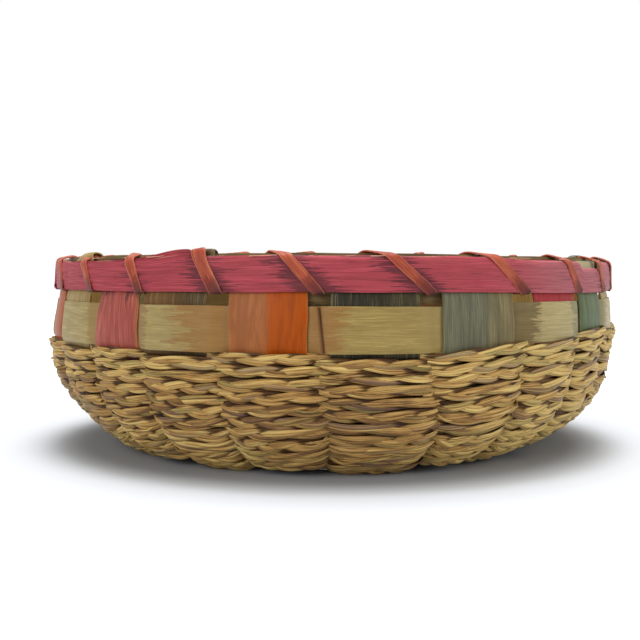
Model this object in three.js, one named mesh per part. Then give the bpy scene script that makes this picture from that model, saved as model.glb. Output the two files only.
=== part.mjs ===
// A low round bowl woven from ash splints and braided sweetgrass.
// Long flat splints cross in the middle of the base and stand up as the uprights. Flat weavers close
// the base, braided rows are woven through the uprights to make the lower wall, one broad splint is
// woven above them, and two hoops lashed together by one spiral strip hold the ends at the rim.
// Millimetres, +Z up. The origin is on the ground in the middle of the bowl, and its front looks along -Y.
import * as THREE from 'three';

// Rim
const RIM_LEVEL = 74;
const RIM_INSET = 1.2;
const OUTER_HOOP_HEIGHT = 11.4;
const OUTER_HOOP_THICKNESS = 1.2;
const INNER_HOOP_HEIGHT = 11;
const INNER_HOOP_THICKNESS = 2;
const INNER_HOOP_RISE = 0.5;
const UPRIGHT_END_DEPTH = 0.6;

// Strip that lashes the two hoops together
const LASHING_WIDTH = 5.4;
const LASHING_THICKNESS = 0.6;
const LASHING_ARCH = 0.3;
const LASHING_PASSAGE = 4.4;

// Broad splint woven under the rim
const BAND_WIDTH = 14.6;
const BAND_THICKNESS = 0.6;

// Uprights: each long splint makes two of them, one at each end
const UPRIGHT_THICKNESS = 0.8;
const CROSSING_THICKNESS = 0.5;
const WAIST_WIDTH = 5.5;
const FIRST_UPRIGHT_ANGLE = THREE.MathUtils.degToRad(-69.8);

// Line of the wall, down the middle of an upright
const WALL_RADIUS = 106.8;
const WALL_BULGE = 2.8;
const CORNER_RISE = 36;
const CORNER_REACH = 43.8;
const FOOT_WIDTH = 6;
const DOME_RISE = 8;
const SIDE_DROP = 2.2;

// Braided rows
const ROW_COUNT = 20;
const BRAID_THICKNESS = 2.2;
const LOWEST_ROW_RISE = 3.6;

// Flat weavers of the base
const BASE_WEAVER_PITCH = 7;
const WEAVERS_OUTSIDE_FOOT = 2;
const BASE_WEAVER_THICKNESS = 0.5;

// Clearances between pieces that lie on each other
const SEAT_GAP = 0.3;
const LAYER_GAP = 0.15;

// Numbers of straight stretches in the round shapes
const CORNER_STEPS = 6;
const WALL_STEPS = 3;
const HOOP_STEPS = 48;
const SCARF_STEPS = 4;

// Shares of the sizes that they follow
const SCARF_TIP_SHARE = 0.2;
const FULLEST_WALL_SHARE = 0.2;
const BRAID_HEIGHT_SHARE = 0.9;
const CROSSING_HEIGHT_SHARE = 0.8;
const CROSSING_DEPTH_SHARE = 0.5;
const BAND_END_SHARE = 0.65;

// From each upright to the next over half a turn, as shares of an even spacing
const spacingShares = [0.86, 1.01, 0.91, 1.16, 1.19, 1.23, 1.21, 0.89, 0.89, 0.88, 0.88, 0.89];
// Width of each long splint, as a share of an even spacing
const widthShares = [0.68, 0.74, 0.76, 0.76, 0.88, 0.96, 0.92, 0.78, 0.70, 0.73, 0.73, 0.73];
// How far each wrap of the lashing leans over the outer hoop, as a share of an even spacing
const leanShares = [0.22, 0.22, 0.20, 0.26, 0.42, 0.54, 0.53, 0.32, 0.26, 0.40, 0.40, 0.40];

// Dye of each long splint, and colours of the other pieces
const splintColors = [
  0xc8742c, 0xb79a5c, 0xb64c50, 0x6f5a30, 0xd2661c, 0x2c3026,
  0x6c7450, 0xbf3038, 0x4f6f62, 0xb79a5c, 0x8a4a2c, 0x7d7a4a,
];
const BASE_COLOR = 0xc2a468;
const SWEETGRASS_COLOR = 0xb48c4c;
const BAND_COLOR = 0xb09a54;
const OUTER_HOOP_COLOR = 0xa53c4b;
const INNER_HOOP_COLOR = 0x9a8458;
const LASHING_COLOR = 0xc8503c;
const ASH_ROUGHNESS = 0.55;
const SWEETGRASS_ROUGHNESS = 0.7;

const LONG_SPLINTS = spacingShares.length;
const UPRIGHTS = 2 * LONG_SPLINTS;
const EVEN_SPACING = (2 * Math.PI) / UPRIGHTS;
const HOOP_STEP = (2 * Math.PI) / HOOP_STEPS;

const rimRadius = WALL_RADIUS - RIM_INSET;
const footOutside = WALL_RADIUS - CORNER_REACH;
const footInside = footOutside - FOOT_WIDTH;
const footRadius = (footOutside + footInside) / 2;

const footLevel = BASE_WEAVER_THICKNESS + SEAT_GAP + UPRIGHT_THICKNESS / 2;
const cornerTop = footLevel + CORNER_RISE;
const outerHoopBottom = RIM_LEVEL - OUTER_HOOP_HEIGHT;
const innerHoopTop = RIM_LEVEL + INNER_HOOP_RISE;
const innerHoopBottom = innerHoopTop - INNER_HOOP_HEIGHT;
const bandTop = Math.min(outerHoopBottom, innerHoopBottom) - LASHING_PASSAGE;
const bandBottom = bandTop - BAND_WIDTH;

// Every upright in turn round the bowl: its angle from the front, and half the angle it fills
function placeUprights() {
  const total = spacingShares.reduce((sum, share) => sum + share, 0);
  const places = [];
  let angle = FIRST_UPRIGHT_ANGLE;
  for (let i = 0; i < UPRIGHTS; i++) {
    const splint = i % LONG_SPLINTS;
    places.push({ angle, halfAngle: (widthShares[splint] * EVEN_SPACING) / 2 });
    angle += (spacingShares[splint] / total) * Math.PI;
  }
  return places;
}

const uprights = placeUprights();
const widestHalfAngle = Math.max(...uprights.map((upright) => upright.halfAngle));
const leastSpacing = Math.min(...spacingShares) * EVEN_SPACING;

// Radius inside which neighbouring splints lie on each other, and where they have come down to one level
const crossingRadius = (WAIST_WIDTH + SEAT_GAP) / (2 * Math.tan(leastSpacing / 2));
const settledRadius = (crossingRadius + footInside) / 2;

// As many base weavers inside the foot as there is room for where the splints lie at one level
const weaversInsideFoot = Math.floor((footRadius - settledRadius - FOOT_WIDTH / 2) / BASE_WEAVER_PITCH);

// The wall line as points (radius, level), from the middle of the base to the rim
function wallLine() {
  const dome = [0, crossingRadius, (crossingRadius + settledRadius) / 2, settledRadius, footInside].map(
    (radius) => new THREE.Vector2(
      radius,
      footLevel + DOME_RISE * (1 + Math.cos((Math.PI * radius) / footInside)) / 2,
    ),
  );
  const corner = new THREE.EllipseCurve(
    footOutside, cornerTop, WALL_RADIUS - footOutside, CORNER_RISE, -Math.PI / 2, 0,
  );
  const fullest = new THREE.Vector2(
    WALL_RADIUS + WALL_BULGE,
    THREE.MathUtils.lerp(cornerTop, RIM_LEVEL, FULLEST_WALL_SHARE),
  );
  const wall = new THREE.QuadraticBezierCurve(
    new THREE.Vector2(WALL_RADIUS, cornerTop), fullest, new THREE.Vector2(rimRadius, RIM_LEVEL),
  );
  return [...dome, ...corner.getPoints(CORNER_STEPS), ...wall.getPoints(WALL_STEPS).slice(1)];
}

const line = wallLine();
const footIndex = line.findIndex((point) => point.x >= footOutside - SEAT_GAP);

// Direction of the wall line at one of its points, eased between the stretches on both sides
function easedDirection(i) {
  const before = line[Math.max(i - 1, 0)];
  const after = line[Math.min(i + 1, line.length - 1)];
  return i === 0 ? new THREE.Vector2(1, 0) : after.clone().sub(before).normalize();
}

// The wall line where the given measure (x or y) first reaches a value: the point there, and the eased
// direction
function onWallLine(measure, value, first) {
  let i = first;
  while (i < line.length - 2 && line[i + 1][measure] < value) {
    i += 1;
  }
  const share = (value - line[i][measure]) / (line[i + 1][measure] - line[i][measure]);
  const point = line[i].clone().lerp(line[i + 1], share);
  const eased = easedDirection(i).lerp(easedDirection(i + 1), share).normalize();
  return { point, eased };
}

const atLevel = (level) => onWallLine('y', level, footIndex);
const atRadius = (radius) => onWallLine('x', radius, 0);

// Seat of a flat strip that lies across the wall line between two of its points: the way it runs, and
// how far it stands off on each side (1 outside, -1 inside) to clear the upright between its edges
function flatSeat(low, middle, high, thickness) {
  const along = high.point.clone().sub(low.point).normalize();
  const normal = new THREE.Vector2(along.y, -along.x);
  const rise = (edge) => edge.point.clone().sub(middle.point).dot(normal);
  const offset = (side) => (UPRIGHT_THICKNESS + thickness) / 2 + SEAT_GAP
    + Math.max(0, side * rise(low), side * rise(high));
  return { place: { point: middle.point, along }, offset };
}

// Directions at an angle from the front: away from the axis and round the bowl
const outward = (angle) => new THREE.Vector3(Math.sin(angle), -Math.cos(angle), 0);
const around = (angle) => new THREE.Vector3(Math.cos(angle), Math.sin(angle), 0);

// A place on the wall line turned to an angle, with its directions up the wall and out of it
function wallFrame(place, angle) {
  const out = outward(angle);
  const up = new THREE.Vector3(0, 0, 1);
  const { point, along } = place;
  return {
    origin: out.clone().multiplyScalar(point.x).addScaledVector(up, point.y),
    along: out.clone().multiplyScalar(along.x).addScaledVector(up, along.y),
    normal: out.clone().multiplyScalar(along.y).addScaledVector(up, -along.x),
    round: around(angle),
  };
}

// The hand-made bowl has settled: its rim is lower at the two sides than at the front and back
function settle(point) {
  const radius = Math.hypot(point.x, point.y) || 1;
  const rise = point.z / RIM_LEVEL;
  const sideways = point.x / radius;
  return new THREE.Vector3(point.x, point.y, point.z - SIDE_DROP * rise * rise * sideways * sideways);
}

// Closed body through sections of equal numbers of points, listed anticlockwise about the way they go
function loft(sections, ring) {
  const sides = sections[0].length;
  const spans = ring ? sections.length : sections.length - 1;
  const indices = [];
  for (let i = 0; i < spans; i++) {
    const here = i * sides;
    const next = ((i + 1) % sections.length) * sides;
    for (let j = 0; j < sides; j++) {
      const k = (j + 1) % sides;
      indices.push(here + j, here + k, next + k, here + j, next + k, next + j);
    }
  }
  const end = (sections.length - 1) * sides;
  for (let j = 1; !ring && j < sides - 1; j++) {
    indices.push(0, j + 1, j, end, end + j, end + j + 1);
  }
  const geometry = new THREE.BufferGeometry();
  geometry.setFromPoints(sections.flat().map(settle));
  geometry.setIndex(indices);
  geometry.computeVertexNormals();
  return geometry;
}

// Section of a flat strip: a rectangle about a centre, between two half extents
function strip(center, across, halfWidth, through, halfThickness) {
  const corner = (u, v) => center.clone().addScaledVector(across, u).addScaledVector(through, v);
  return [
    corner(halfWidth, -halfThickness), corner(halfWidth, halfThickness),
    corner(-halfWidth, halfThickness), corner(-halfWidth, -halfThickness),
  ];
}

// Section of a braid, a lozenge that leaves the room its neighbours need where they cross
function lozenge(center, along, halfHeight, normal, halfDepth) {
  return [
    center.clone().addScaledVector(along, halfHeight), center.clone().addScaledVector(normal, halfDepth),
    center.clone().addScaledVector(along, -halfHeight), center.clone().addScaledVector(normal, -halfDepth),
  ];
}

// Stops of a weaver round the whole bowl: the two edges of each upright, and the middle of each gap.
// side(i) is 1 where the weaver passes outside upright i and -1 where it passes inside, and each stop
// keeps that as its passing, which is 0 in the gaps.
function weaverStops(place, side, offset) {
  const edge = (upright, direction) => {
    const frame = wallFrame(place, upright.angle);
    const halfWidth = place.point.x * Math.tan(upright.halfAngle) + SEAT_GAP;
    frame.origin.addScaledVector(frame.round, direction * halfWidth);
    return frame;
  };
  const stops = [];
  uprights.forEach((upright, i) => {
    const next = uprights[(i + 1) % UPRIGHTS];
    const start = edge(upright, -1);
    const end = edge(upright, 1);
    const gap = wallFrame(place, gapAngle(i));
    gap.origin = end.origin.clone().add(edge(next, -1).origin).multiplyScalar(1 / 2);
    start.origin.addScaledVector(start.normal, side(i) * offset(side(i)));
    end.origin.addScaledVector(end.normal, side(i) * offset(side(i)));
    stops.push({ frame: start, passing: side(i) }, { frame: end, passing: side(i) });
    stops.push({ frame: gap, passing: 0 });
  });
  return stops;
}

// Middle of the gap between upright i and the next
function gapAngle(i) {
  const here = uprights[i % UPRIGHTS];
  const next = uprights[(i + 1) % UPRIGHTS];
  const turn = i + 1 >= UPRIGHTS ? 2 * Math.PI : 0;
  return (here.angle + here.halfAngle + next.angle - next.halfAngle + turn) / 2;
}

// Long splint: down from the rim, waisted across the domed base over the splints before it, and up again
function longSplint(number) {
  const upright = uprights[number];
  const lift = number * (CROSSING_THICKNESS + LAYER_GAP);
  const lastPoint = new THREE.Vector2(rimRadius, RIM_LEVEL - UPRIGHT_END_DEPTH);
  const stations = [...line.slice(0, -1), lastPoint];
  const section = (point, i, side) => {
    const along = easedDirection(i);
    const frame = wallFrame({ point, along }, upright.angle + (side < 0 ? Math.PI : 0));
    const settled = THREE.MathUtils.smoothstep(point.x, crossingRadius, settledRadius);
    frame.origin.z += lift * (1 - settled);
    const halfWidth = Math.max(WAIST_WIDTH / 2, point.x * Math.tan(upright.halfAngle));
    const thickness = THREE.MathUtils.lerp(CROSSING_THICKNESS, UPRIGHT_THICKNESS, settled);
    return strip(frame.origin, frame.normal, thickness / 2, around(upright.angle), halfWidth);
  };
  const near = stations.map((point, i) => section(point, i, 1));
  const far = stations.map((point, i) => section(point, i, -1));
  return loft([...far.slice(1).reverse(), ...near], false);
}

// Levels of the braided rows, from the one under the broad splint down to the turn of the base
const lowestRow = footLevel + LOWEST_ROW_RISE;
const rowPitch = (bandBottom - lowestRow) / (ROW_COUNT - 1 + BRAID_HEIGHT_SHARE);
const rowLevel = (row) => bandBottom - (BRAID_HEIGHT_SHARE + row) * rowPitch;

// Point beside the wall line at a level, and the distance between two such points
function beside(level, offset) {
  const { point, eased } = atLevel(level);
  return new THREE.Vector2(point.x + offset * eased.y, point.y - offset * eased.x);
}
const reach = (level, step, offset) => beside(level - step, offset).distanceTo(beside(level + step, offset));

// One braided row: over and under the uprights, squeezed where it crosses its neighbours in the gaps
function braidedRow(row) {
  const level = rowLevel(row);
  const { point, eased } = atLevel(level);
  const depth = BRAID_THICKNESS / 2;
  const offset = UPRIGHT_THICKNESS / 2 + SEAT_GAP + depth;
  const squeezed = (CROSSING_HEIGHT_SHARE * reach(level, rowPitch / 2, 0)) / 2;
  const height = (passing) => (BRAID_HEIGHT_SHARE * reach(level, rowPitch, passing * offset)) / 2;
  const side = (i) => ((i + row) % 2 === 0 ? 1 : -1);
  const stops = weaverStops({ point, along: eased }, side, () => offset);
  const sections = stops.map(({ frame, passing }) => lozenge(
    frame.origin,
    frame.along, passing === 0 ? squeezed : height(passing),
    frame.normal, passing === 0 ? depth * CROSSING_DEPTH_SHARE : depth,
  ));
  return loft(sections, true);
}

// Flat weaver of the base, one turn over and under the uprights
function baseWeaver(number) {
  const radius = footRadius + (WEAVERS_OUTSIDE_FOOT - number) * BASE_WEAVER_PITCH;
  const edges = [radius - FOOT_WIDTH / 2, radius, radius + FOOT_WIDTH / 2];
  const { place, offset } = flatSeat(...edges.map(atRadius), BASE_WEAVER_THICKNESS);
  const side = (i) => ((i + number) % 2 === 0 ? 1 : -1);
  const stops = weaverStops(place, side, offset).filter((stop) => stop.passing !== 0);
  const sections = stops.map(({ frame }) => strip(
    frame.origin, frame.along, FOOT_WIDTH / 2, frame.normal, BASE_WEAVER_THICKNESS / 2,
  ));
  return loft(sections, true);
}

// Broad splint: one turn and a lap. It starts behind upright 2 and ends past upright 4, over its start.
function broadSplint() {
  const lapFirst = 2;
  const lapLast = 4;
  const levels = [bandBottom, (bandTop + bandBottom) / 2, bandTop];
  const { place, offset: seat } = flatSeat(...levels.map(atLevel), BAND_THICKNESS);
  const layer = BAND_THICKNESS + LAYER_GAP;
  const sections = [];
  const addStop = (index, direction, offset, extra) => {
    const upright = uprights[index % UPRIGHTS];
    const frame = wallFrame(place, upright.angle);
    const halfWidth = place.point.x * Math.tan(upright.halfAngle);
    frame.origin.addScaledVector(frame.round, direction * (halfWidth + SEAT_GAP + extra));
    frame.origin.addScaledVector(frame.normal, offset);
    sections.push(strip(frame.origin, frame.along, BAND_WIDTH / 2, frame.normal, BAND_THICKNESS / 2));
  };
  for (let i = lapFirst; i <= UPRIGHTS + lapLast; i++) {
    const over = i % 2 === 1;
    const lapped = i <= lapLast || i >= UPRIGHTS + lapFirst;
    const second = i >= UPRIGHTS + lapFirst;
    const raised = lapped && over === second;
    const side = over ? 1 : -1;
    const offset = side * (seat(side) + (raised ? layer : 0));
    if (i > lapFirst) {
      addStop(i, -1, offset, 0);
    }
    addStop(i, 1, offset, 0);
  }
  const edgeAngle = uprights[lapLast].angle + uprights[lapLast].halfAngle;
  const gapWidth = 2 * place.point.x * (gapAngle(lapLast) - edgeAngle) - 2 * SEAT_GAP;
  addStop(UPRIGHTS + lapLast, 1, seat(1) + layer, gapWidth * BAND_END_SHARE);
  return loft(sections, false);
}

// Radii of the hoops' faces, clear of the flat uprights that stand between them
const hoopSeatRadius = Math.max(rimRadius, atLevel(outerHoopBottom).point.x);
const outerHoopInside = (hoopSeatRadius / Math.cos(widestHalfAngle) + UPRIGHT_THICKNESS / 2 + SEAT_GAP)
  / Math.cos(HOOP_STEP / 2);
const outerHoopOutside = outerHoopInside + OUTER_HOOP_THICKNESS;
const innerHoopOutside = rimRadius - UPRIGHT_THICKNESS / 2 - SEAT_GAP;
const innerHoopInside = innerHoopOutside - INNER_HOOP_THICKNESS;

// Hoop bent from one lath, its two ends shaved thin and lapped in a scarf from the given angle on
function hoop(inside, outside, bottom, top, scarfAngle) {
  const tip = SCARF_TIP_SHARE * (outside - inside);
  const lapLine = (step) => THREE.MathUtils.lerp(inside + tip, outside - tip, step / SCARF_STEPS);
  const middle = new THREE.Vector3(0, 0, (top + bottom) / 2);
  const up = new THREE.Vector3(0, 0, 1);
  const sections = [];
  for (let i = 0; i <= HOOP_STEPS + SCARF_STEPS; i++) {
    const out = outward(scarfAngle + i * HOOP_STEP);
    const from = i < HOOP_STEPS ? inside : lapLine(i - HOOP_STEPS) + LAYER_GAP / 2;
    const to = i > SCARF_STEPS ? outside : lapLine(i) - LAYER_GAP / 2;
    const center = out.clone().multiplyScalar((from + to) / 2).add(middle);
    sections.push(strip(center, up, (top - bottom) / 2, out, (to - from) / 2));
  }
  return loft(sections, false);
}

// Stops of the lashing round the two hoops. Each wrap comes up inside, arches over the hoops, leans down
// the outer hoop and goes back in under it, through the gap between two uprights. A stop's facing is the
// way out of the wrap, and at the corners it is longer, for the mitre.
const STOPS_PER_WRAP = 6;
function lashingStops() {
  const half = LASHING_THICKNESS / 2;
  const high = Math.max(RIM_LEVEL, innerHoopTop) + SEAT_GAP + half;
  const low = Math.min(outerHoopBottom, innerHoopBottom) - SEAT_GAP - half;
  const outer = outerHoopOutside + SEAT_GAP + half;
  const inner = innerHoopInside - SEAT_GAP - half;
  const middle = (inner + outer) / 2;
  const stops = [];
  for (let i = 0; i < UPRIGHTS; i++) {
    const bottomAngle = gapAngle(i);
    const topAngle = bottomAngle - leanShares[i % LONG_SPLINTS] * EVEN_SPACING;
    const leanAngle = (topAngle + bottomAngle) / 2;
    const here = uprights[i];
    const narrow = 2 * (bottomAngle - here.angle - here.halfAngle) * inner - 2 * SEAT_GAP;
    const passing = Math.min(LASHING_WIDTH, narrow);
    stops.push(
      { angle: topAngle, radius: inner, level: high, facing: [-1, 1], width: LASHING_WIDTH },
      { angle: topAngle, radius: middle, level: high + LASHING_ARCH, facing: [0, 1], width: LASHING_WIDTH },
      { angle: topAngle, radius: outer, level: high, facing: [1, 1], width: LASHING_WIDTH },
      { angle: leanAngle, radius: outer, level: (high + low) / 2, facing: [1, 0], width: LASHING_WIDTH },
      { angle: bottomAngle, radius: outer, level: low, facing: [1, -1], width: passing },
      { angle: bottomAngle, radius: inner, level: low, facing: [-1, -1], width: passing },
    );
  }
  return stops;
}

// Least distance of the lashing from itself, measured between points of wraps that are not joined
function leastSelfGap(sections) {
  const points = [];
  for (let i = 0; i < sections.length - 1; i++) {
    sections[i].forEach((corner, j) => {
      for (const share of [0, 1 / 4, 1 / 2, 3 / 4]) {
        points.push({ stop: i + share, at: corner.clone().lerp(sections[i + 1][j], share) });
      }
    });
  }
  let least = Infinity;
  for (const first of points) {
    for (const second of points) {
      if (second.stop - first.stop >= STOPS_PER_WRAP / 2) {
        least = Math.min(least, first.at.distanceTo(second.at));
      }
    }
  }
  return least;
}

// The lashing: one unbroken strip with a wrap in every gap, its two ends tucked in under the hoops
function rimLashing() {
  const stops = lashingStops();
  const first = stops[0];
  const last = stops.pop();
  const startAngle = gapAngle(UPRIGHTS - 1) - 2 * Math.PI;
  stops.unshift({ ...last, angle: startAngle, level: first.level - INNER_HOOP_HEIGHT / 2, facing: [-1, 0] });
  stops.push({ ...last, radius: (last.radius + outerHoopOutside) / 2, facing: [0, -1] });
  const up = new THREE.Vector3(0, 0, 1);
  const sections = stops.map(({ angle, radius, level, facing, width }) => {
    const center = outward(angle).multiplyScalar(radius).addScaledVector(up, level);
    const through = outward(angle).multiplyScalar(facing[0]).addScaledVector(up, facing[1]);
    return strip(center, around(angle), width / 2, through, LASHING_THICKNESS / 2);
  });
  console.log(`least gap of the lashing to itself: ${leastSelfGap(sections).toFixed(2)} mm`);
  return loft(sections, false);
}

const basket = new THREE.Group();

function addPiece(name, geometry, color, roughness) {
  const material = new THREE.MeshStandardMaterial({ color, roughness, metalness: 0 });
  const mesh = new THREE.Mesh(geometry, material);
  mesh.name = name;
  basket.add(mesh);
}

const twoDigits = (number) => String(number).padStart(2, '0');

for (let number = 0; number < LONG_SPLINTS; number++) {
  addPiece(`long_splint_${twoDigits(number + 1)}`, longSplint(number), splintColors[number], ASH_ROUGHNESS);
}
for (let number = 0; number <= WEAVERS_OUTSIDE_FOOT + weaversInsideFoot; number++) {
  addPiece(`base_weaver_${number + 1}`, baseWeaver(number), BASE_COLOR, ASH_ROUGHNESS);
}
for (let row = 0; row < ROW_COUNT; row++) {
  addPiece(`sweetgrass_row_${twoDigits(row + 1)}`, braidedRow(row), SWEETGRASS_COLOR, SWEETGRASS_ROUGHNESS);
}
addPiece('band_weaver', broadSplint(), BAND_COLOR, ASH_ROUGHNESS);
addPiece(
  'outer_hoop',
  hoop(outerHoopInside, outerHoopOutside, outerHoopBottom, RIM_LEVEL, uprights[1].angle),
  OUTER_HOOP_COLOR, ASH_ROUGHNESS,
);
addPiece(
  'inner_hoop',
  hoop(innerHoopInside, innerHoopOutside, innerHoopBottom, innerHoopTop, gapAngle(LONG_SPLINTS)),
  INNER_HOOP_COLOR, ASH_ROUGHNESS,
);
addPiece('rim_lashing', rimLashing(), LASHING_COLOR, ASH_ROUGHNESS);

export default basket;
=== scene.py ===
"""A low round bowl woven from dyed ash splints and braided sweetgrass, in a pale studio."""

import math
from types import SimpleNamespace

import bpy
import numpy as np
from bpy.props import FloatProperty, FloatVectorProperty, IntProperty, PointerProperty
from mathutils import Matrix, Vector


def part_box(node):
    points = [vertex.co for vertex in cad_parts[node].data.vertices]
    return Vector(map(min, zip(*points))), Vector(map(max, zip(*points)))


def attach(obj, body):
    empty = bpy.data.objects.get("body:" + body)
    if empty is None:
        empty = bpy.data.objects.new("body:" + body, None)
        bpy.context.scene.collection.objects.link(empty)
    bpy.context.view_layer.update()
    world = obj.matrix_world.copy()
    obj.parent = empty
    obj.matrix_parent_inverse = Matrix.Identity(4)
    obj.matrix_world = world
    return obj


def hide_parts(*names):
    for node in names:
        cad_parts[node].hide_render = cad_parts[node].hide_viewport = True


bl_info = {
    "name": "Splint and sweetgrass bowl",
    "version": (1, 0, 0),
    "blender": (4, 5, 0),
    "location": "3D View > Sidebar > Bowl",
    "description": "Weaves a low round bowl from dyed ash splints and braided sweetgrass",
    "category": "Add Mesh",
}

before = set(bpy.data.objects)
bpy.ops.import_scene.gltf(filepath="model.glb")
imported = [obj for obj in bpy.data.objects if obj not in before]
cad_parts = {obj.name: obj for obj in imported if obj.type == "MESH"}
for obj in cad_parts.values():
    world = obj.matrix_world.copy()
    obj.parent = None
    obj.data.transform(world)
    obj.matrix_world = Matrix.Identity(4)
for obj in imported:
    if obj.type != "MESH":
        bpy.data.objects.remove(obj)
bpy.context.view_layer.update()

FULL_TURN = 2 * math.pi
MM = 0.001

# Top of the rim, and outer face of the red hoop, which stands back a little for the relief on it
RIM_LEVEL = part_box("outer_hoop")[1].z
RELIEF_ROOM = 0.3 * MM
HOOP_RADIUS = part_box("outer_hoop")[1].x - RELIEF_ROOM

# Uprights from the left of the front round to the right. For half the bowl: spacing and width of each,
# and lean and width of the wrap in the gap on its right, as shares of an even spacing and of the strip
FIRST_UPRIGHT_ANGLE = math.radians(-69.8)
SPACING_SHARES = (0.86, 1.01, 0.91, 1.16, 1.19, 1.23, 1.21, 0.89, 0.89, 0.88, 0.88, 0.89)
WIDTH_SHARES = (0.71, 0.82, 0.80, 0.86, 0.88, 0.98, 0.93, 0.80, 0.72, 0.76, 0.76, 0.76)
LEAN_SHARES = (0.22, 0.22, 0.20, 0.26, 0.42, 0.54, 0.53, 0.32, 0.26, 0.40, 0.40, 0.40)
WRAP_WIDTH_SHARES = (0.85, 0.80, 0.85, 1.00, 0.80, 0.70, 0.78, 0.80, 0.75, 0.70, 0.85, 0.70)
LONG_SPLINTS = len(SPACING_SHARES)
UPRIGHTS = 2 * LONG_SPLINTS
EVEN_SPACING = FULL_TURN / UPRIGHTS

# The weave climbs at the right of the front: angles there, and the climb as shares of the broad weaver's
# width. How much of it the lower wall, the braided rows and the broad weaver take, and the last one's limit
CLIMB_ANGLES = np.radians((18, 33, 39, 46, 63, 80, 150))
CLIMB_SHARES = (0.00, 0.12, 0.17, 0.20, 0.29, 0.22, 0.00)
WALL_CLIMB_SHARE = 0.55
ROW_CLIMB_SHARE = 1.15
BAND_CLIMB_SHARE = 0.75
BAND_CLIMB_LIMIT_SHARE = 0.08

# Unevenness of the wall. In a pair of angles, levels, offsets or reaches, here and below, an effect
# starts at the first and is full at the second
LEANING_ANGLE = math.radians(14)
LEANING_SPAN = math.radians(32)
LEANING = math.radians(3.4)
LEANING_FOOT = 12 * MM
DRAWN_ANGLE = math.radians(-85)
DRAWN_SPAN = math.radians(45)
STANDING_OUT = 1.5 * MM
STANDING_LEVELS = (22 * MM, 34 * MM)
DRAWN_IN = 2.6 * MM
DRAWN_LEVELS = (24 * MM, 14 * MM)
DRAWN_FOOT_LEVELS = (2 * MM, 9 * MM)
BULGE = 0.9 * MM
BULGE_ANGLES = (math.radians(-100), math.radians(-60))
BULGE_TOP_OFFSETS = (1 * MM, -3 * MM)
BULGE_FOOT_OFFSETS = (-4 * MM, 2 * MM)
CORNER_OFFSETS = (2 * MM, 20 * MM)
CLIMB_DEPTH = 4 * MM
LEAST_RADIUS = 1 * MM
LEAST_LEVEL = 0.05 * MM

# Where light has faded the bowl, over a reach in spacings, and bleached it at the left, less strongly
FADED_ANGLE = math.radians(56)
FADED_REACH = 2
BLEACHED_ANGLE = math.radians(-45)
BLEACHED_SHARE = 0.35

# Painted light and shade on the sweetgrass: paler in the faded and the bleached stretch, and darker in the
# middle of the front and halfway down the wall, between levels that are shares of the broad weaver's lower
# edge
PAINTED_LIGHT_SHARES = (1.2, 0.38, -0.18, -0.70)
PAINTED_LIGHT_REACH = 3.5
HALFWAY_TOP_SHARES = (0.88, 0.6)
HALFWAY_FOOT_SHARES = (0.3, 0.5)

# Dye of each long splint, by the name of its finish
SPLINT_DYES = (
    "orange", "natural", "rose", "olive", "orange", "black_green",
    "grey_green", "red", "blue_green", "natural", "brown", "grey_green",
)

# How far dye has crept in from the left and from the right of each stretch of the broad weaver that
# shows outside, as shares of that stretch, how strongly, and how the hoop has taken stain by each wrap
CREEP_SHARES = (
    (0.14, 0.06), (0.12, 0.40), (0.20, 0.13), (0.17, 0.16), (0.20, 0.30), (0.15, 0.22),
    (0.28, 0.12), (0.10, 0.35), (0.24, 0.20), (0.16, 0.26), (0.30, 0.12), (0.14, 0.24),
)
CREEP_STRENGTH_SHARES = (
    (0.6, 0.6), (0.9, 1.0), (1.0, 0.3), (1.0, 1.0), (0.8, 1.0), (1.0, 0.7),
    (0.7, 1.0), (1.0, 0.8), (0.6, 1.0), (1.0, 1.0), (0.8, 0.6), (1.0, 0.8),
)
STAIN_SHARES = (
    0.10, 0.20, 0.45, 0.85, 0.95, 0.90, 0.25, 0.15, 0.40, 0.70, 0.30, 0.55,
    0.80, 0.35, 0.60, 0.25, 0.75, 0.50, 0.30, 0.65, 0.45, 0.20, 0.55, 0.15,
)

# Stretches where the red hoop's upper edge is worn down, and one where it is torn away: middle, half
# length and depth
WORN_STRETCHES = (
    (math.radians(57), math.radians(32), 0.7 * MM),
    (math.radians(-48), math.radians(22), 1.0 * MM),
)
TORN_STRETCH = (math.radians(57.5), math.radians(6.5), 2.2 * MM)

# Stretch where the plain hoop is split wider, down to the broad weaver: middle, half length and depth
WIDER_STRETCH = (math.radians(9), math.radians(22), 4.7 * MM)

# Shares of the half length within which the last two stretches have their full depth
TORN_FULL_SHARE = 0.75
WIDER_FULL_SHARE = 0.8

# Lap of the red hoop: the uprights by which it starts and ends, the angles past them, how far its hidden
# end stands up over the rim, and the angles over which that rise starts and falls off
LAP_UPRIGHTS = (1, 3)
LAP_OVERRUNS = (0.05, 0.07)
LAP_RISE = 2.1 * MM
LAP_RISE_START = 0.3
LAP_RISE_FALL = 0.12

# Long splints: points along half of one and across it, its gap to the rim's top, how it leans out under the
# rim and is pressed by the broad weaver, how it narrows at the tip and is thinned at the crossing, how
# often its width wavers, and where it is darkened with painted shade between the braided rows
SPLINT_STEPS = 150
SPLINT_COLUMNS = 15
SPLINT_RIM_GAP = 0.6 * MM
SPLINT_LEAN = 0.75 * MM
SPLINT_LEAN_DEPTH = 6 * MM
SPLINT_PRESS = 0.25 * MM
SPLINT_PRESS_REACHES = (9 * MM, 4 * MM)
SPLINT_THINNING = 0.15 * MM
SPLINT_EDGE_SHARE = 0.55
SPLINT_WAVER_SHARE = 0.012
SPLINT_WAVER_RATE = 60
SPLINT_BEND = 60 * MM
TIP_SHARE = 0.16
TIP_OFFSETS = (-7 * MM, 2 * MM)
PAINTED_SHADE_OFFSETS = (2 * MM, 8 * MM)
PAINTED_SHADE_DEPTH = 2 * MM

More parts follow.
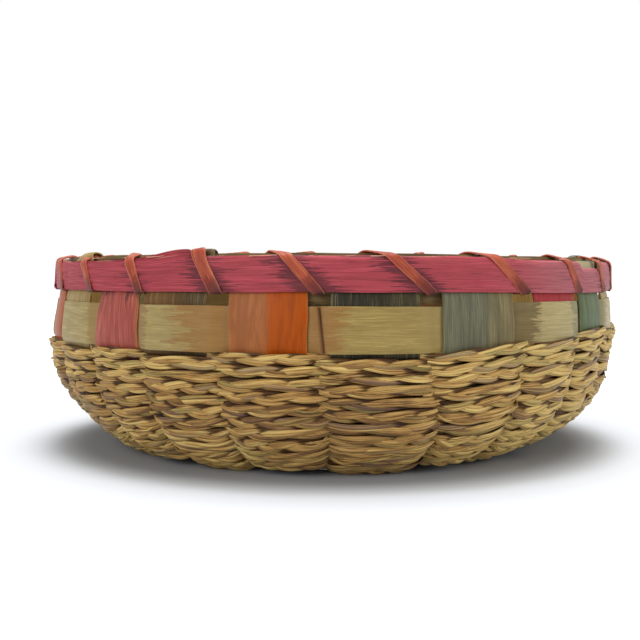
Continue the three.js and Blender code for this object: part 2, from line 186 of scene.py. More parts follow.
# Uprights that taper towards the rim, and those whose end is folded in over the inner hoop, with how
# far it leans to the right and which share of its width is torn off
TAPERED_UPRIGHTS = (2, 16)
TAPER_SHARE = 0.33
FOLDED_UPRIGHTS = {1: (6.0 * MM, 0.7), 3: (10.5 * MM, 0.75), 11: (4.5 * MM, 0.6)}
TORN_OFFSETS = (-2 * MM, 3 * MM)
SHIFT_OFFSETS = (-3 * MM, 2 * MM)
FOLD_STEPS = 9
FOLD_INSET = 4 * MM
FOLD_ARCH = 1.3 * MM
FOLD_RISE = 1.1 * MM
FOLD_LENGTH = 6 * MM
FOLD_DROP = 3.5 * MM
DROP_STEPS = 4

# Uprights that are darkened right under the rim, how far the others are kept lighter there, and one upright
# whose tip is bare of dye
DARK_TOPPED_UPRIGHTS = (2, 10, 14, 19, 22)
LIGHTER_TOP_SHARE = 0.4
BARE_TIP = 8
BARE_TIP_OFFSETS = (-5 * MM, -3 * MM)

# Braided rows: points to each upright and round a blade, what the top row keeps of its height, the half
# height from which a row is a wide plait, for both plaits the strands, their swing and their width, and
# the length of wall that a turn of the plait takes
ROW_STEPS = 24
BLADE_SIDES = 8
TOP_ROW_SHARE = 0.9
WIDE_ROW = 2.8 * MM
WIDE_PLAIT_SHARES = (5, 0.72, 0.44)
NARROW_PLAIT_SHARES = (3, 0.52, 0.64)
PLAIT_LENGTH = 45 * MM

# How a row lies: the gap where each row starts, the room between it and the uprights, at the top and
# added at the foot, the fall and the thrust outwards of the lowest ones in the gaps, its sway, how much
# fuller it is where the weave climbs, and how far its strands bob out and in
FIRST_ROW_GAP = 13
NEXT_ROW_GAPS = 3
ROW_GAP = 0.1 * MM
LOW_ROW_GAP = 0.5 * MM
ROW_FALL = 1.2 * MM
ROW_THRUST = 1.4 * MM
ROW_SWAY = 0.20 * MM
ROW_WAVER = 0.14 * MM
FULLER_SHARE = 0.6
BOB_SHARE = 0.42

# How a row changes in the gaps: how it turns to the other side of the uprights, evenly and late, how it
# is squeezed, and swells at the foot instead, and how it is flattened and shaded. Then how unevenly its
# plait turns
TURNING_SHARES = (0.40, 0.60)
SQUEEZE_SHARE = 0.22
SWELL_SHARE = 0.25
FLATTENING_SHARE = 0.30
GAP_SHADE_SHARE = 0.6
PLAIT_WAVER = 0.7

# Blades of a strand: how many, their width and depth, how far they lie apart, how uneven they and their
# swing are, and where they are lit and where darkened with painted shade, by how proud of the row and how
# far aside in it they lie
BLADES = 3
BLADE_WIDTH_SHARE = 0.59
BLADE_DEPTH_SHARE = 0.77
BLADE_SPREAD_SHARE = 0.46
BLADE_LIFT_SHARE = 0.35
BLADE_WAVER_SHARE = 0.12
SWING_WAVER_SHARE = 0.08
PROUD_DEPTH_SHARE = 1.15
PROUD_SHARES = (0.12, 0.70)
ASIDE_SHARES = (1.25, 0.80)

# Loose straw ends on each braided row. In a pair of lengths, lifts, drifts, places, seeds, radii or
# insets, here and below, the first is the least and the second the most. The rise is given by the shares
# of the straw's length where it starts and is full, and the mark is the same for all that a straw shows
LOOSE_STRAWS = 4
STRAW_STEPS = 9
STRAW_SIDES = 6
STRAW_LENGTHS = (4 * MM, 9 * MM)
STRAW_RADIUS = 0.42 * MM
STRAW_GRAIN = 0.3 * MM
STRAW_START = 0.4 * MM
STRAW_LIFT = 0.25 * MM
STRAW_END_LIFTS = (-0.2 * MM, 0.3 * MM)
STRAW_RISE_SHARES = (-0.1, 0.5)
STRAW_DRIFT_SHARES = (-0.5, 0.5)
STRAW_PLACE_SHARES = (-0.4, 0.4)
STRAW_SEED_SHARES = (0.6, 1)
STRAW_MARK_SHARE = 0.6
STRAW_WIDTH_SHARE = 1.3
STRAW_DEPTH_SHARE = 0.7

# Flat weavers of the base: the one that the bowl stands on, counted from the outermost as 0, their gap
# to the splints and how thin their edges are. The broad weaver has the same gap and edges, and the
# lashing the same edges
FOOT_WEAVER = 2
WEAVER_GAP = 0.15 * MM
STRIP_EDGE_SHARE = 0.5
BASE_STEPS = 14
BASE_COLUMNS = 9
BASE_OVERWIDTH = 0.25 * MM
BASE_WAVER = 0.12 * MM

# Broad weaver: the uprights at the start and end of its lap, how far past them it goes, the room that
# its two ends take where they lie on each other, how it narrows, and how its end is cut aslant
BAND_STEPS = 26
BAND_COLUMNS = 19
BAND_LAP_UPRIGHTS = (2, 4)
BAND_START_SHARE = 0.8
BAND_END_SHARE = 0.62
BAND_LAYER = 0.35 * MM
BAND_LAYER_TURN = 0.12
BAND_NARROWING = 0.25 * MM
BAND_NARROWING_TURN = 0.14
BAND_WAVER = 0.05 * MM
BAND_SLANT = 0.0085
BAND_SLANT_TURN = 0.03
BAND_LINE_OFFSETS = (-0.008, -0.002)

# Red hoop: points round it and up its face, where its ends thin out in the lap, how its edges waver,
# fall and are rounded, and how much of the relief and rounding its inner face has. Then where its torn
# edge is pale, and how pale and how unevenly. Last how far stain has spread beside a wrap, its strength
# at the hoop's foot, and how much of it is lost towards the top and everywhere
HOOP_STEPS = 820
HOOP_ROWS = 25
HOOP_THINNING_OFFSETS = (0.06, -0.04)
HOOP_ENDING = 0.02
HOOP_LAP_GAP = 0.1 * MM
HOOP_WAVER = 0.12 * MM
HOOP_RELIEF = 0.09 * MM
HOOP_ROW_RELIEF = 0.05 * MM
HOOP_START_FALL = 0.35 * MM
HOOP_END_FALL = 0.5 * MM
HOOP_FADED_FALL = 0.4 * MM
HOOP_TOP_ROUNDING = 0.9 * MM
HOOP_FOOT_ROUNDING = 0.4 * MM
HOOP_BACK_SHARES = (0.5, 0.4)
PALE_EDGE_SHARES = (0.93, 1.0)
PALE_SHARE = 0.55
PALE_WAVER_SHARE = 0.45
STAIN_REACH = 8 * MM
STAIN_FOOT_SHARE = 1.1
STAIN_TOP_LOSS_SHARE = 0.4
STAIN_LOSS_SHARE = 0.38

# Slivers on the torn edge of the red hoop
SLIVERS = 46
SLIVER_STEPS = 7
SLIVER_SIDES = 6
SLIVER_LENGTHS = (2 * MM, 9 * MM)
SLIVER_LIFTS = (0.1 * MM, 0.5 * MM)
SLIVER_RADII = (0.10 * MM, 0.22 * MM)
SLIVER_INSETS = (0.2 * MM, 1.4 * MM)
SLIVER_LEAN = 0.3 * MM
SLIVER_SINK = 0.15 * MM
SLIVER_GRAIN = 0.1 * MM

# Plain hoop: points round it and up its face, its lap and where its ends thin out, and its edges
PLAIN_STEPS = 560
PLAIN_ROWS = 13
PLAIN_START_GAP = 12
PLAIN_LAP = 0.42
PLAIN_THINNING_OFFSETS = (0.06, -0.05)
PLAIN_RISE = 0.20 * MM
PLAIN_TOP_WAVER = 0.15 * MM
PLAIN_FOOT_WAVER = 0.12 * MM
PLAIN_RELIEF = 0.06 * MM
PLAIN_ROUNDING = 0.5 * MM

# Lashing: room between it and the hoops at its sides, inside, on top and below, its corners, the depths
# over which it follows the worn edge and the lap, its arch, and the crown and crease across it
LASH_SIDE_GAP = 0.05 * MM
LASH_INNER_GAP = 0.2 * MM
LASH_INNER_TOP_GAP = 0.35 * MM
LASH_OUTER_TOP_GAP = 0.25 * MM
LASH_CORNER = 0.9 * MM
LASH_WORN_DEPTH = 4 * MM
LASH_LIFTED_DEPTH = 3 * MM
LASH_LIFTED_SHARE = 0.15
LASH_ARCH = 0.15 * MM
LASH_CROWN = 0.16 * MM
LASH_CREASE = 0.08 * MM
LASH_CREASE_SHARE = 0.25
LASH_LEAN_SHARE = 0.7
LASH_COLUMNS = 9
LASH_WAVER_SHARE = 0.06
LASH_WAVER_RATE = 20
LASH_SMOOTHINGS = 9

# Floor: half its side, its colour in the bowl's shadow and outside it, the shadow's middle and how it is
# drawn out, and the reaches over which the floor opens and starts to glow near the bowl and far from it
FLOOR_HALF = 4.0
SHADED_FLOOR = (0.24, 0.25, 0.27)
OPEN_FLOOR = (0.46, 0.49, 0.53)
SHADOW_MIDDLE = (-0.002, -0.004, 0.0)
SHADOW_STRETCH_SHARES = (1.0, 1.08, 1.0)
OPEN_FLOOR_REACHES = (0.068, 0.088)
NEAR_GLOW_REACHES = (0.094, 0.124)
FAR_GLOW_REACHES = (0.14, 0.30)
NEAR_GLOW_SHARE = 0.47

# Lamps: name, place, width and power. SKY_SHARE is the light that the surroundings give
LAMPS = (
    ("key_lamp", (-0.72, -1.17, 0.50), 0.8, 7.6),
    ("fill_lamp", (1.15, -0.80, 0.42), 0.8, 5.9),
    ("top_lamp", (0.0, 0.12, 1.3), 0.7, 15.0),
)
SKY_SHARE = 0.27

# Camera: its distance from the bowl's middle and its level, how far it looks down and aside and is
# rolled, its focal length and its picture's width in pixels, and its sensor's width in millimetres
CAMERA_DISTANCE = 0.440
CAMERA_LEVEL = 0.0747
LOOK_DOWN = math.radians(3.56)
LOOK_ASIDE = math.radians(0.65)
ROLL = math.radians(0.15)
FOCAL_PIXELS = 1078.0
PICTURE_PIXELS = 640
SENSOR_WIDTH = 36.0

# Edges between faces that turn by more than this are shown sharp. GLOSS_SHARE is the gloss of all finishes
SHARP_ANGLE = math.radians(55)
GLOSS_SHARE = 0.15


def srgb(red, green, blue):
    """Colour for the shaders, from the values that a colour picker shows"""
    def linear(value):
        return value / 12.92 if value <= 0.04045 else ((value + 0.055) / 1.055) ** 2.4
    return (linear(red), linear(green), linear(blue))


# Dyes that change where they have crept into the broad weaver
CREPT_DYES = {
    "orange": srgb(0.60, 0.40, 0.21),
    "rose": srgb(0.56, 0.40, 0.28),
    "grey_green": srgb(0.30, 0.23, 0.12),
    "blue_green": srgb(0.50, 0.50, 0.38),
    "brown": srgb(0.48, 0.32, 0.18),
}

# Second tone of a splint's colour, where across the splint it starts and how softly, and how much darker
# the pores and paler the ridges of its grain are. On the orange splint the duller, paler tone left of the
# middle is a painted reflection, and the second tone is its dye
SECOND_TONES = {
    "orange": (srgb(0.70, 0.31, 0.0), 0.0, 0.16, 0.08, 0.02),
    "rose": (srgb(0.76, 0.46, 0.28), 0.88, 0.05, 0.36, 0.22),
    "black_green": (srgb(0.30, 0.28, 0.18), 0.2, 0.5, 0.55, 0.22),
    "grey_green": (srgb(0.54, 0.49, 0.33), 0.30, 0.35, 0.34, 0.12),
    "olive": (srgb(0.37, 0.30, 0.17), 0.1, 0.5, 0.35, 0.18),
}
PLAIN_TONE_SHARES = (0.3, 0.5, 0.25, 0.20)

# Tones that wear, light and the grain give the finishes, and the painted shade at the foot of the lashing's
# wraps
PALE_RIDGE = srgb(0.93, 0.80, 0.60)
BARE_WOOD = srgb(0.76, 0.72, 0.56)
BAND_CLOUD = srgb(0.63, 0.54, 0.31)
BAND_FADED = srgb(0.84, 0.78, 0.58)
BAND_END = srgb(0.30, 0.14, 0.08)
HOOP_BRIGHT = srgb(0.80, 0.30, 0.38)
HOOP_FADED = srgb(0.80, 0.52, 0.54)
HOOP_TORN = srgb(0.86, 0.62, 0.52)
PLAIN_HOOP_DARK = srgb(0.28, 0.20, 0.13)
LASHING_BRIGHT = srgb(0.86, 0.46, 0.32)
LASHING_FOOT_SHADE = srgb(0.40, 0.13, 0.14)
LASHING_WORN = srgb(0.88, 0.54, 0.42)

# What is left of a colour in clouded and browned stretches, in the painted shade on the splints between the
# braided rows, in the veins of a blade, and in the painted shade deep in the weave
CLOUDED_SHARES = (0.80, 0.76, 0.78)
BROWNED_SHARES = (0.72, 0.60, 0.46)
PAINTED_SHADE_SPLINT_SHARES = (0.16, 0.14, 0.13)
VEIN_SHARES = (0.40, 0.32, 0.26)
PAINTED_SHADE_GRASS_SHARES = (0.17, 0.125, 0.11)

# Grain of each wood: its lines across and its stretch along the fibre, to the metre
GRAINS = {
    "splint": (3200.0, 70.0),
    "base": (3200.0, 80.0),
    "band": (2800.0, 110.0),
    "hoop": (3300.0, 60.0),
    "plain_hoop": (2800.0, 90.0),
    "lashing": (3200.0, 90.0),
}

# Streaks of a blade of sweetgrass: stretch along it, lines across it, and detail of its blades' tones,
# its veins, its patches and its tint
BLADE_STREAKS = ((55.0, 1900.0, 2.0), (45.0, 4200.0, 2.0), (70.0, 200.0, 3.0), (22.0, 300.0, 2.0))

# How ragged the edge of an upright's dark top, of crept dye and its halo, of stain and of the painted shade
# at a wrap's foot is, and its streaks to the metre
CREEPS = {
    "dark_top": (0.6, 420.0),
    "dye": (2.0, 800.0),
    "halo": (0.8, 500.0),
    "hoop_stain": (1.3, 2200.0),
    "lashing_foot": (0.6, 900.0),
}

# Where the dark top starts on an upright and the painted shade at the foot of a wrap, and how far the halo
# goes before the dye
DARK_TOP_START_SHARE = 0.52
WRAP_SHADE_START_SHARE = 0.55
HALO_SHARE = 0.3

# How strongly each effect covers the colour under it
STRENGTH_SHARES = {
    "dark_top": 0.70, "splint_wear": 0.6, "splint_pale": 0.55, "band_fading": 0.7, "band_stain": 0.75,
    "halo": 0.25, "dye": 0.85, "hoop_bright": 0.5, "hoop_fading": 0.6, "hoop_stain": 0.72,
    "plain_hoop_dark": 0.6, "lashing_bright": 0.5, "lashing_foot": 0.55, "lashing_wear": 0.28,
    "mauve": 0.60, "moss": 0.50,
}

# Surface of each wood: roughness, how much smoother the ridges of its grain are, and strength and depth
# of its relief. Then the depth of a blade's relief
SURFACES = {
    "splint": (0.52, 0.14, 0.35, 0.15 * MM),
    "base": (0.62, 0.12, 0.35, 0.12 * MM),
    "band": (0.50, 0.14, 0.35, 0.15 * MM),
    "hoop": (0.62, 0.15, 0.60, 0.22 * MM),
    "plain_hoop": (0.64, 0.12, 0.50, 0.18 * MM),
    "lashing": (0.48, 0.12, 0.30, 0.12 * MM),
}
BLADE_RELIEF = 0.30 * MM


def length_of(label, default, description):
    return FloatProperty(name=label, description=description, default=default, unit="LENGTH", precision=5)


def color_of(label, default, description):
    return FloatVectorProperty(
        name=label, description=description, default=default, subtype="COLOR", size=3, min=0.0, max=1.0)


class BowlSizes(bpy.types.PropertyGroup):
    rim_level: length_of("Rim level", RIM_LEVEL, "Height of the outer hoop's top")
    hoop_radius: length_of("Hoop radius", HOOP_RADIUS, "Radius of the outer hoop's outer face")
    outer_hoop_height: length_of("Outer hoop height", 0.0114, "Width of the red lath")
    outer_hoop_thickness: length_of("Outer hoop thickness", 0.0014, "Thickness of the red lath")
    inner_hoop_height: length_of("Inner hoop height", 0.011, "Width of the plain lath")
    inner_hoop_thickness: length_of("Inner hoop thickness", 0.002, "Thickness of the plain lath")
    inner_hoop_rise: length_of("Inner hoop rise", 0.0005, "How far the plain lath stands over the red one")
    rim_inset: length_of("Rim inset", 0.0012, "How far the wall draws in at the rim")
    wall_radius: length_of("Wall radius", 0.1068, "Radius of the wall above its corner")
    wall_bulge: length_of("Wall bulge", 0.0028, "Pull of the wall outwards over its corner")
    corner_rise: length_of("Corner rise", 0.036, "Height of the round corner under the wall")
    corner_reach: length_of("Corner reach", 0.0438, "Depth of the round corner from foot to wall")
    foot_width: length_of("Foot width", 0.006, "Width of the flat weavers of the base")
    dome_rise: length_of("Dome rise", 0.008, "How far the middle of the base is pushed up")
    side_drop: length_of("Side drop", 0.0022, "How much lower the rim is at the two sides")
    upright_thickness: length_of("Upright thickness", 0.0008, "Thickness of the long splints")
    waist_width: length_of("Waist width", 0.0055, "Width of a long splint where they all cross")
    layer_step: length_of("Layer step", 0.00065, "Rise from one crossing splint to the next")
    band_width: length_of("Broad weaver width", 0.0146, "Width of the splint woven under the rim")
    band_thickness: length_of("Broad weaver thickness", 0.0006, "Thickness of that splint")
    band_drop: length_of("Broad weaver drop", 0.0158, "From the rim down to the broad weaver's top")
    braid_thickness: length_of("Braid thickness", 0.0030, "Thickness of a braided row")
    lowest_row_rise: length_of("Lowest row rise", 0.0036, "Height of the lowest row over the foot")
    base_pitch: length_of("Base weaver pitch", 0.007, "From one flat base weaver to the next")
    base_thickness: length_of("Base weaver thickness", 0.0005, "Thickness of the base weavers")
    lashing_width: length_of("Lashing width", 0.0044, "Width of the lashing strip")
    lashing_thickness: length_of("Lashing thickness", 0.0006, "Thickness of the lashing strip")
    seat: length_of("Seat", 0.0003, "Clearance between pieces that lie on each other")
    rows: IntProperty(name="Braided rows", description="Number of braided rows", default=20, min=1)


class BowlColors(bpy.types.PropertyGroup):
    # The orange is dulled and paled by a painted reflection; the orange splint's second tone holds its dye
    orange: color_of("Orange", srgb(0.69, 0.42, 0.23), "Orange dyed splint")
    natural: color_of("Natural", srgb(0.74, 0.63, 0.38), "Undyed splint")
    rose: color_of("Rose", srgb(0.77, 0.39, 0.34), "Rose dyed splint")
    olive: color_of("Olive", srgb(0.52, 0.38, 0.22), "Olive brown dyed splint")
    black_green: color_of("Black green", srgb(0.24, 0.23, 0.17), "Black green dyed splint")
    grey_green: color_of("Grey green", srgb(0.46, 0.46, 0.36), "Grey green dyed splint")
    red: color_of("Red", srgb(0.74, 0.24, 0.26), "Bright red dyed splint")
    blue_green: color_of("Blue green", srgb(0.40, 0.47, 0.31), "Blue green dyed splint")
    brown: color_of("Brown", srgb(0.52, 0.30, 0.18), "Brown dyed splint")
    base: color_of("Base", srgb(0.76, 0.65, 0.42), "Undyed base weavers")
    band: color_of("Broad weaver", srgb(0.71, 0.61, 0.36), "Yellow tan broad weaver")
    hoop: color_of("Red hoop", srgb(0.78, 0.335, 0.36), "Raspberry dyed hoop")
    plain_hoop: color_of("Plain hoop", srgb(0.56, 0.47, 0.30), "Undyed hoop inside")
    lashing: color_of("Lashing", srgb(0.72, 0.30, 0.22), "Orange red lashing strip")
    straw: color_of("Straw", srgb(0.93, 0.80, 0.50), "Pale blades of the sweetgrass")
    ochre: color_of("Ochre", srgb(0.79, 0.62, 0.36), "Middle tone of the sweetgrass")
    umber: color_of("Umber", srgb(0.52, 0.38, 0.23), "Dark blades of the sweetgrass")
    mauve: color_of("Mauve", srgb(0.46, 0.37, 0.34), "Greyed purple blades of the sweetgrass")
    moss: color_of("Moss", srgb(0.52, 0.51, 0.31), "Greenish blades of the sweetgrass")
    # This dark colour is the hoop's stain, and it also darkens the uprights' tops and gives the painted
    # shade at the foot of the lashing's wraps
    stain_and_shade: color_of("Stain", srgb(0.24, 0.15, 0.17), "Dark stain of the hoop beside the lashing")


def ripple(seed, waves, angle):
    """Smooth random values, mostly between -1 and 1, that close up round the bowl"""
    random = np.random.default_rng(seed)
    total = np.zeros_like(angle)
    for wave in range(1, waves + 1):
        total += random.normal() * np.sin(wave * angle + random.uniform(0, FULL_TURN))
    return total / math.sqrt(waves)


def smooth(value, low, high):
    """0 at low and before it, 1 at high and past it, and a smooth rise between"""
    share = np.clip((value - low) / (high - low), 0, 1)
    return share * share * (3 - 2 * share)


def ramp(value, start, offsets):
    """A smooth rise from 0 to 1 between two offsets from a start"""
    return smooth(value, start + offsets[0], start + offsets[1])


def from_front(angle):
    """The same angle between half a turn left and half a turn right of the front"""
    return np.mod(angle + math.pi, FULL_TURN) - math.pi


class Bowl:
    """The line of the wall and the places of the uprights, worked out from the sizes"""
    LINE_STEPS = 96

    def __init__(self, sizes):
        self.sizes = sizes
        self.foot_outside = sizes.wall_radius - sizes.corner_reach
        self.foot_inside = self.foot_outside - sizes.foot_width
        self.foot_radius = (self.foot_outside + self.foot_inside) / 2
        self.foot_level = sizes.base_thickness + sizes.seat + sizes.upright_thickness / 2
        self.corner_top = self.foot_level + sizes.corner_rise
        self.hoop_bottom = sizes.rim_level - sizes.outer_hoop_height
        self.inner_top = sizes.rim_level + sizes.inner_hoop_rise
        self.inner_bottom = self.inner_top - sizes.inner_hoop_height
        self.band_top = sizes.rim_level - sizes.band_drop
        self.band_bottom = self.band_top - sizes.band_width
        self.splints_inside = sizes.wall_radius - sizes.rim_inset - sizes.upright_thickness / 2
        self.draw_line()
        self.place_uprights()

    def draw_line(self):
        """Radius and level along the wall line, from the middle of the base to the rim"""
        sizes = self.sizes
        share = np.linspace(0, 1, self.LINE_STEPS)
        base = share * self.foot_inside
        dome = self.foot_level + sizes.dome_rise * (1 + np.cos(math.pi * share)) / 2
        turn = share * math.pi / 2
        corner = self.foot_outside + sizes.corner_reach * np.sin(turn)
        rise = self.foot_level + sizes.corner_rise * (1 - np.cos(turn))
        fullest = self.corner_top + (sizes.rim_level - self.corner_top) / 5
        up = share[1:]
        weights = ((1 - up) ** 2, 2 * up * (1 - up), up ** 2)
        bulged = sizes.wall_radius + sizes.wall_bulge
        radii = (sizes.wall_radius, bulged, sizes.wall_radius - sizes.rim_inset)
        levels = (self.corner_top, fullest, sizes.rim_level)
        wall = sum(weight * radius for weight, radius in zip(weights, radii))
        wall_level = sum(weight * level for weight, level in zip(weights, levels))
        self.radii = np.concatenate([base, corner, wall])
        self.levels = np.concatenate([dome, rise, wall_level])
        strides = np.hypot(np.diff(self.radii), np.diff(self.levels))
        self.lengths = np.concatenate([[0.0], np.cumsum(strides)])
        self.outs = np.gradient(self.radii, self.lengths)
        self.ups = np.gradient(self.levels, self.lengths)
        self.rim_length = self.lengths[-1]

    def place_uprights(self):
        steps = np.array(SPACING_SHARES * 2)
        steps *= math.pi / sum(SPACING_SHARES)
        self.angles = FIRST_UPRIGHT_ANGLE + np.concatenate([[0.0], np.cumsum(steps)[:-1]])
        self.half_angles = np.array(WIDTH_SHARES * 2) * EVEN_SPACING / 2
        next_angles = np.append(self.angles[1:], self.angles[0] + FULL_TURN)
        next_halves = np.append(self.half_angles[1:], self.half_angles[0])
        self.gaps = (self.angles + self.half_angles + next_angles - next_halves) / 2
        first, last = LAP_UPRIGHTS
        self.lap_start = self.angles[first] - LAP_OVERRUNS[0]
        self.lap_end = self.angles[last] + LAP_OVERRUNS[1]
        self.least_spacing = min(SPACING_SHARES) * EVEN_SPACING
        waist = self.sizes.waist_width + self.sizes.seat
        self.crossing_radius = waist / (2 * math.tan(self.least_spacing / 2))
        self.settled_radius = (self.crossing_radius + self.foot_inside) / 2

    def at_level(self, level):
        """Length along the wall line where its outer part reaches a level"""
        return np.interp(level, self.levels[self.LINE_STEPS:], self.lengths[self.LINE_STEPS:])

    def at_radius(self, radius):
        """Length along the wall line where its lower part reaches a radius"""
        return np.interp(radius, self.radii[:2 * self.LINE_STEPS], self.lengths[:2 * self.LINE_STEPS])

    def off_line(self, length, offset):
        """Radius and level at a length along the wall line and a distance out of it"""
        radius = np.interp(length, self.lengths, self.radii)
        level = np.interp(length, self.lengths, self.levels)
        out = np.interp(length, self.lengths, self.outs)
        up = np.interp(length, self.lengths, self.ups)
        return radius + offset * up, level - offset * out

    def climb(self, angle):
        """How much higher the weave stands where it climbs, right of the front"""
        return self.sizes.band_width * np.interp(from_front(angle), CLIMB_ANGLES, CLIMB_SHARES)

    def fading(self, angle, reach=FADED_REACH):
        """How far light has faded the bowl right of the front, over a reach in spacings"""
        away = np.abs(from_front(angle) - FADED_ANGLE)
        return smooth(away, reach * EVEN_SPACING, EVEN_SPACING / 2)

    def bleaching(self, angle):
        """How far light has bleached the broad weaver: less at the left than where it fades the rim"""
        away = np.abs(from_front(angle) - BLEACHED_ANGLE)
        left = smooth(away, FADED_REACH * EVEN_SPACING, EVEN_SPACING)
        return np.maximum(self.fading(angle), BLEACHED_SHARE * left)

    def painted_light_and_shade(self, angle, level):
        """Painted light and shade on the sweetgrass: how much paler it is made right of the front and at
        the left, and how much darker in the middle of the front and halfway down the wall"""
        away = from_front(angle)
        left = smooth(np.abs(away - BLEACHED_ANGLE), PAINTED_LIGHT_REACH * EVEN_SPACING, EVEN_SPACING)
        front = smooth(np.abs(away), PAINTED_LIGHT_REACH * EVEN_SPACING, EVEN_SPACING / 2)
        height = level / self.band_bottom
        halfway = smooth(height, *HALFWAY_TOP_SHARES) * smooth(height, *HALFWAY_FOOT_SHARES)
        parts = (self.fading(angle, PAINTED_LIGHT_REACH), left, front, halfway)
        return sum(share * part for share, part in zip(PAINTED_LIGHT_SHARES, parts))

    def worn(self, angle):
        """How far the red hoop's upper edge is worn down"""
        away = from_front(angle)
        return sum(
            depth * smooth(np.abs(away - middle), span, span / 2) for middle, span, depth in WORN_STRETCHES)

    def raised(self, angle):
        """How far the end of the red hoop's lap lifts what passes over it"""
        away = from_front(angle)
        rise = smooth(away, self.lap_start + LAP_RISE_START, self.lap_end)
        return LAP_RISE * rise * smooth(away, self.lap_end + LAP_RISE_FALL, self.lap_end)

    def settle(self, x, y, z):
        """The hand-made bowl has settled: its rim is lower at the two sides than at front and back, and
        its lower wall is drawn up where the weave climbs"""
        squared = np.maximum(x ** 2 + y ** 2, LEAST_RADIUS ** 2)
        drop = self.sizes.side_drop * (z / self.sizes.rim_level) ** 2 * x ** 2 / squared
        drawn = ramp(np.sqrt(squared), self.foot_outside, CORNER_OFFSETS)
        drawn = drawn * smooth(z, self.band_top, self.band_bottom - CLIMB_DEPTH)
        rise = WALL_CLIMB_SHARE * drawn * self.climb(np.arctan2(x, -y))
        return np.maximum(z - drop + rise, LEAST_LEVEL)

    def turn(self, angle, radius, level, aside=0.0):
        """Points at an angle from the front, and aside of it along the wall"""
        x = radius * np.sin(angle) + aside * np.cos(angle)
        y = aside * np.sin(angle) - radius * np.cos(angle)
        z = level + np.zeros_like(x)
        x, y = self.pull(x, y, z)
        return np.stack([x, y, self.settle(x, y, z)], axis=-1)

    def pull(self, x, y, z):
        """The hand-woven wall is not quite even: it leans aside right of the front, at the left it stands
        out above and draws in below, and it bulges under the hoop everywhere but at the far left"""
        angle = np.arctan2(x, -y)
        radius = np.hypot(x, y)
        woven = smooth(radius, self.foot_inside, self.foot_outside + CORNER_OFFSETS[1])
        leaning = smooth(np.abs(angle - LEANING_ANGLE), LEANING_SPAN, 0)
        leaning = leaning * smooth(z, self.band_bottom, LEANING_FOOT)
        drawn = smooth(np.abs(angle - DRAWN_ANGLE), DRAWN_SPAN, 0)
        above = STANDING_OUT * smooth(z, *STANDING_LEVELS) * smooth(z, self.band_top, self.band_bottom)
        below = DRAWN_IN * smooth(z, *DRAWN_LEVELS) * smooth(z, *DRAWN_FOOT_LEVELS)
        bulge = BULGE * smooth(angle, *BULGE_ANGLES)
        bulge = bulge * ramp(z, self.hoop_bottom, BULGE_TOP_OFFSETS)
        bulge = bulge * ramp(z, self.band_bottom, BULGE_FOOT_OFFSETS)
        angle = angle + LEANING * leaning * woven
        radius = radius + woven * (drawn * (above - below) + bulge)
        return radius * np.sin(angle), -radius * np.cos(angle)

    def on_wall(self, angle, length, offset):
        """Points at an angle, a length along the wall line and a distance out of it"""
        radius, level = self.off_line(length, offset)
        return self.turn(angle, radius, level)

    def weave(self, angle, parity):
        """Side of the upright at each angle (1 where a weaver passes outside it), the place across it
        from -1 in the gap on its left to 1 in the gap on its right, and its number"""
        first_gap = self.gaps[-1] - FULL_TURN
        edges = np.append(first_gap, self.gaps)
        turned = first_gap + np.mod(angle - first_gap, FULL_TURN)
        index = np.clip(np.searchsorted(edges, turned, side="right") - 1, 0, UPRIGHTS - 1)
        away = turned - self.angles[index]
        reach = np.where(away > 0, edges[index + 1] - self.angles[index], self.angles[index] - edges[index])
        side = np.where((index + parity) % 2 == 0, 1, -1)
        return side, away / reach, index


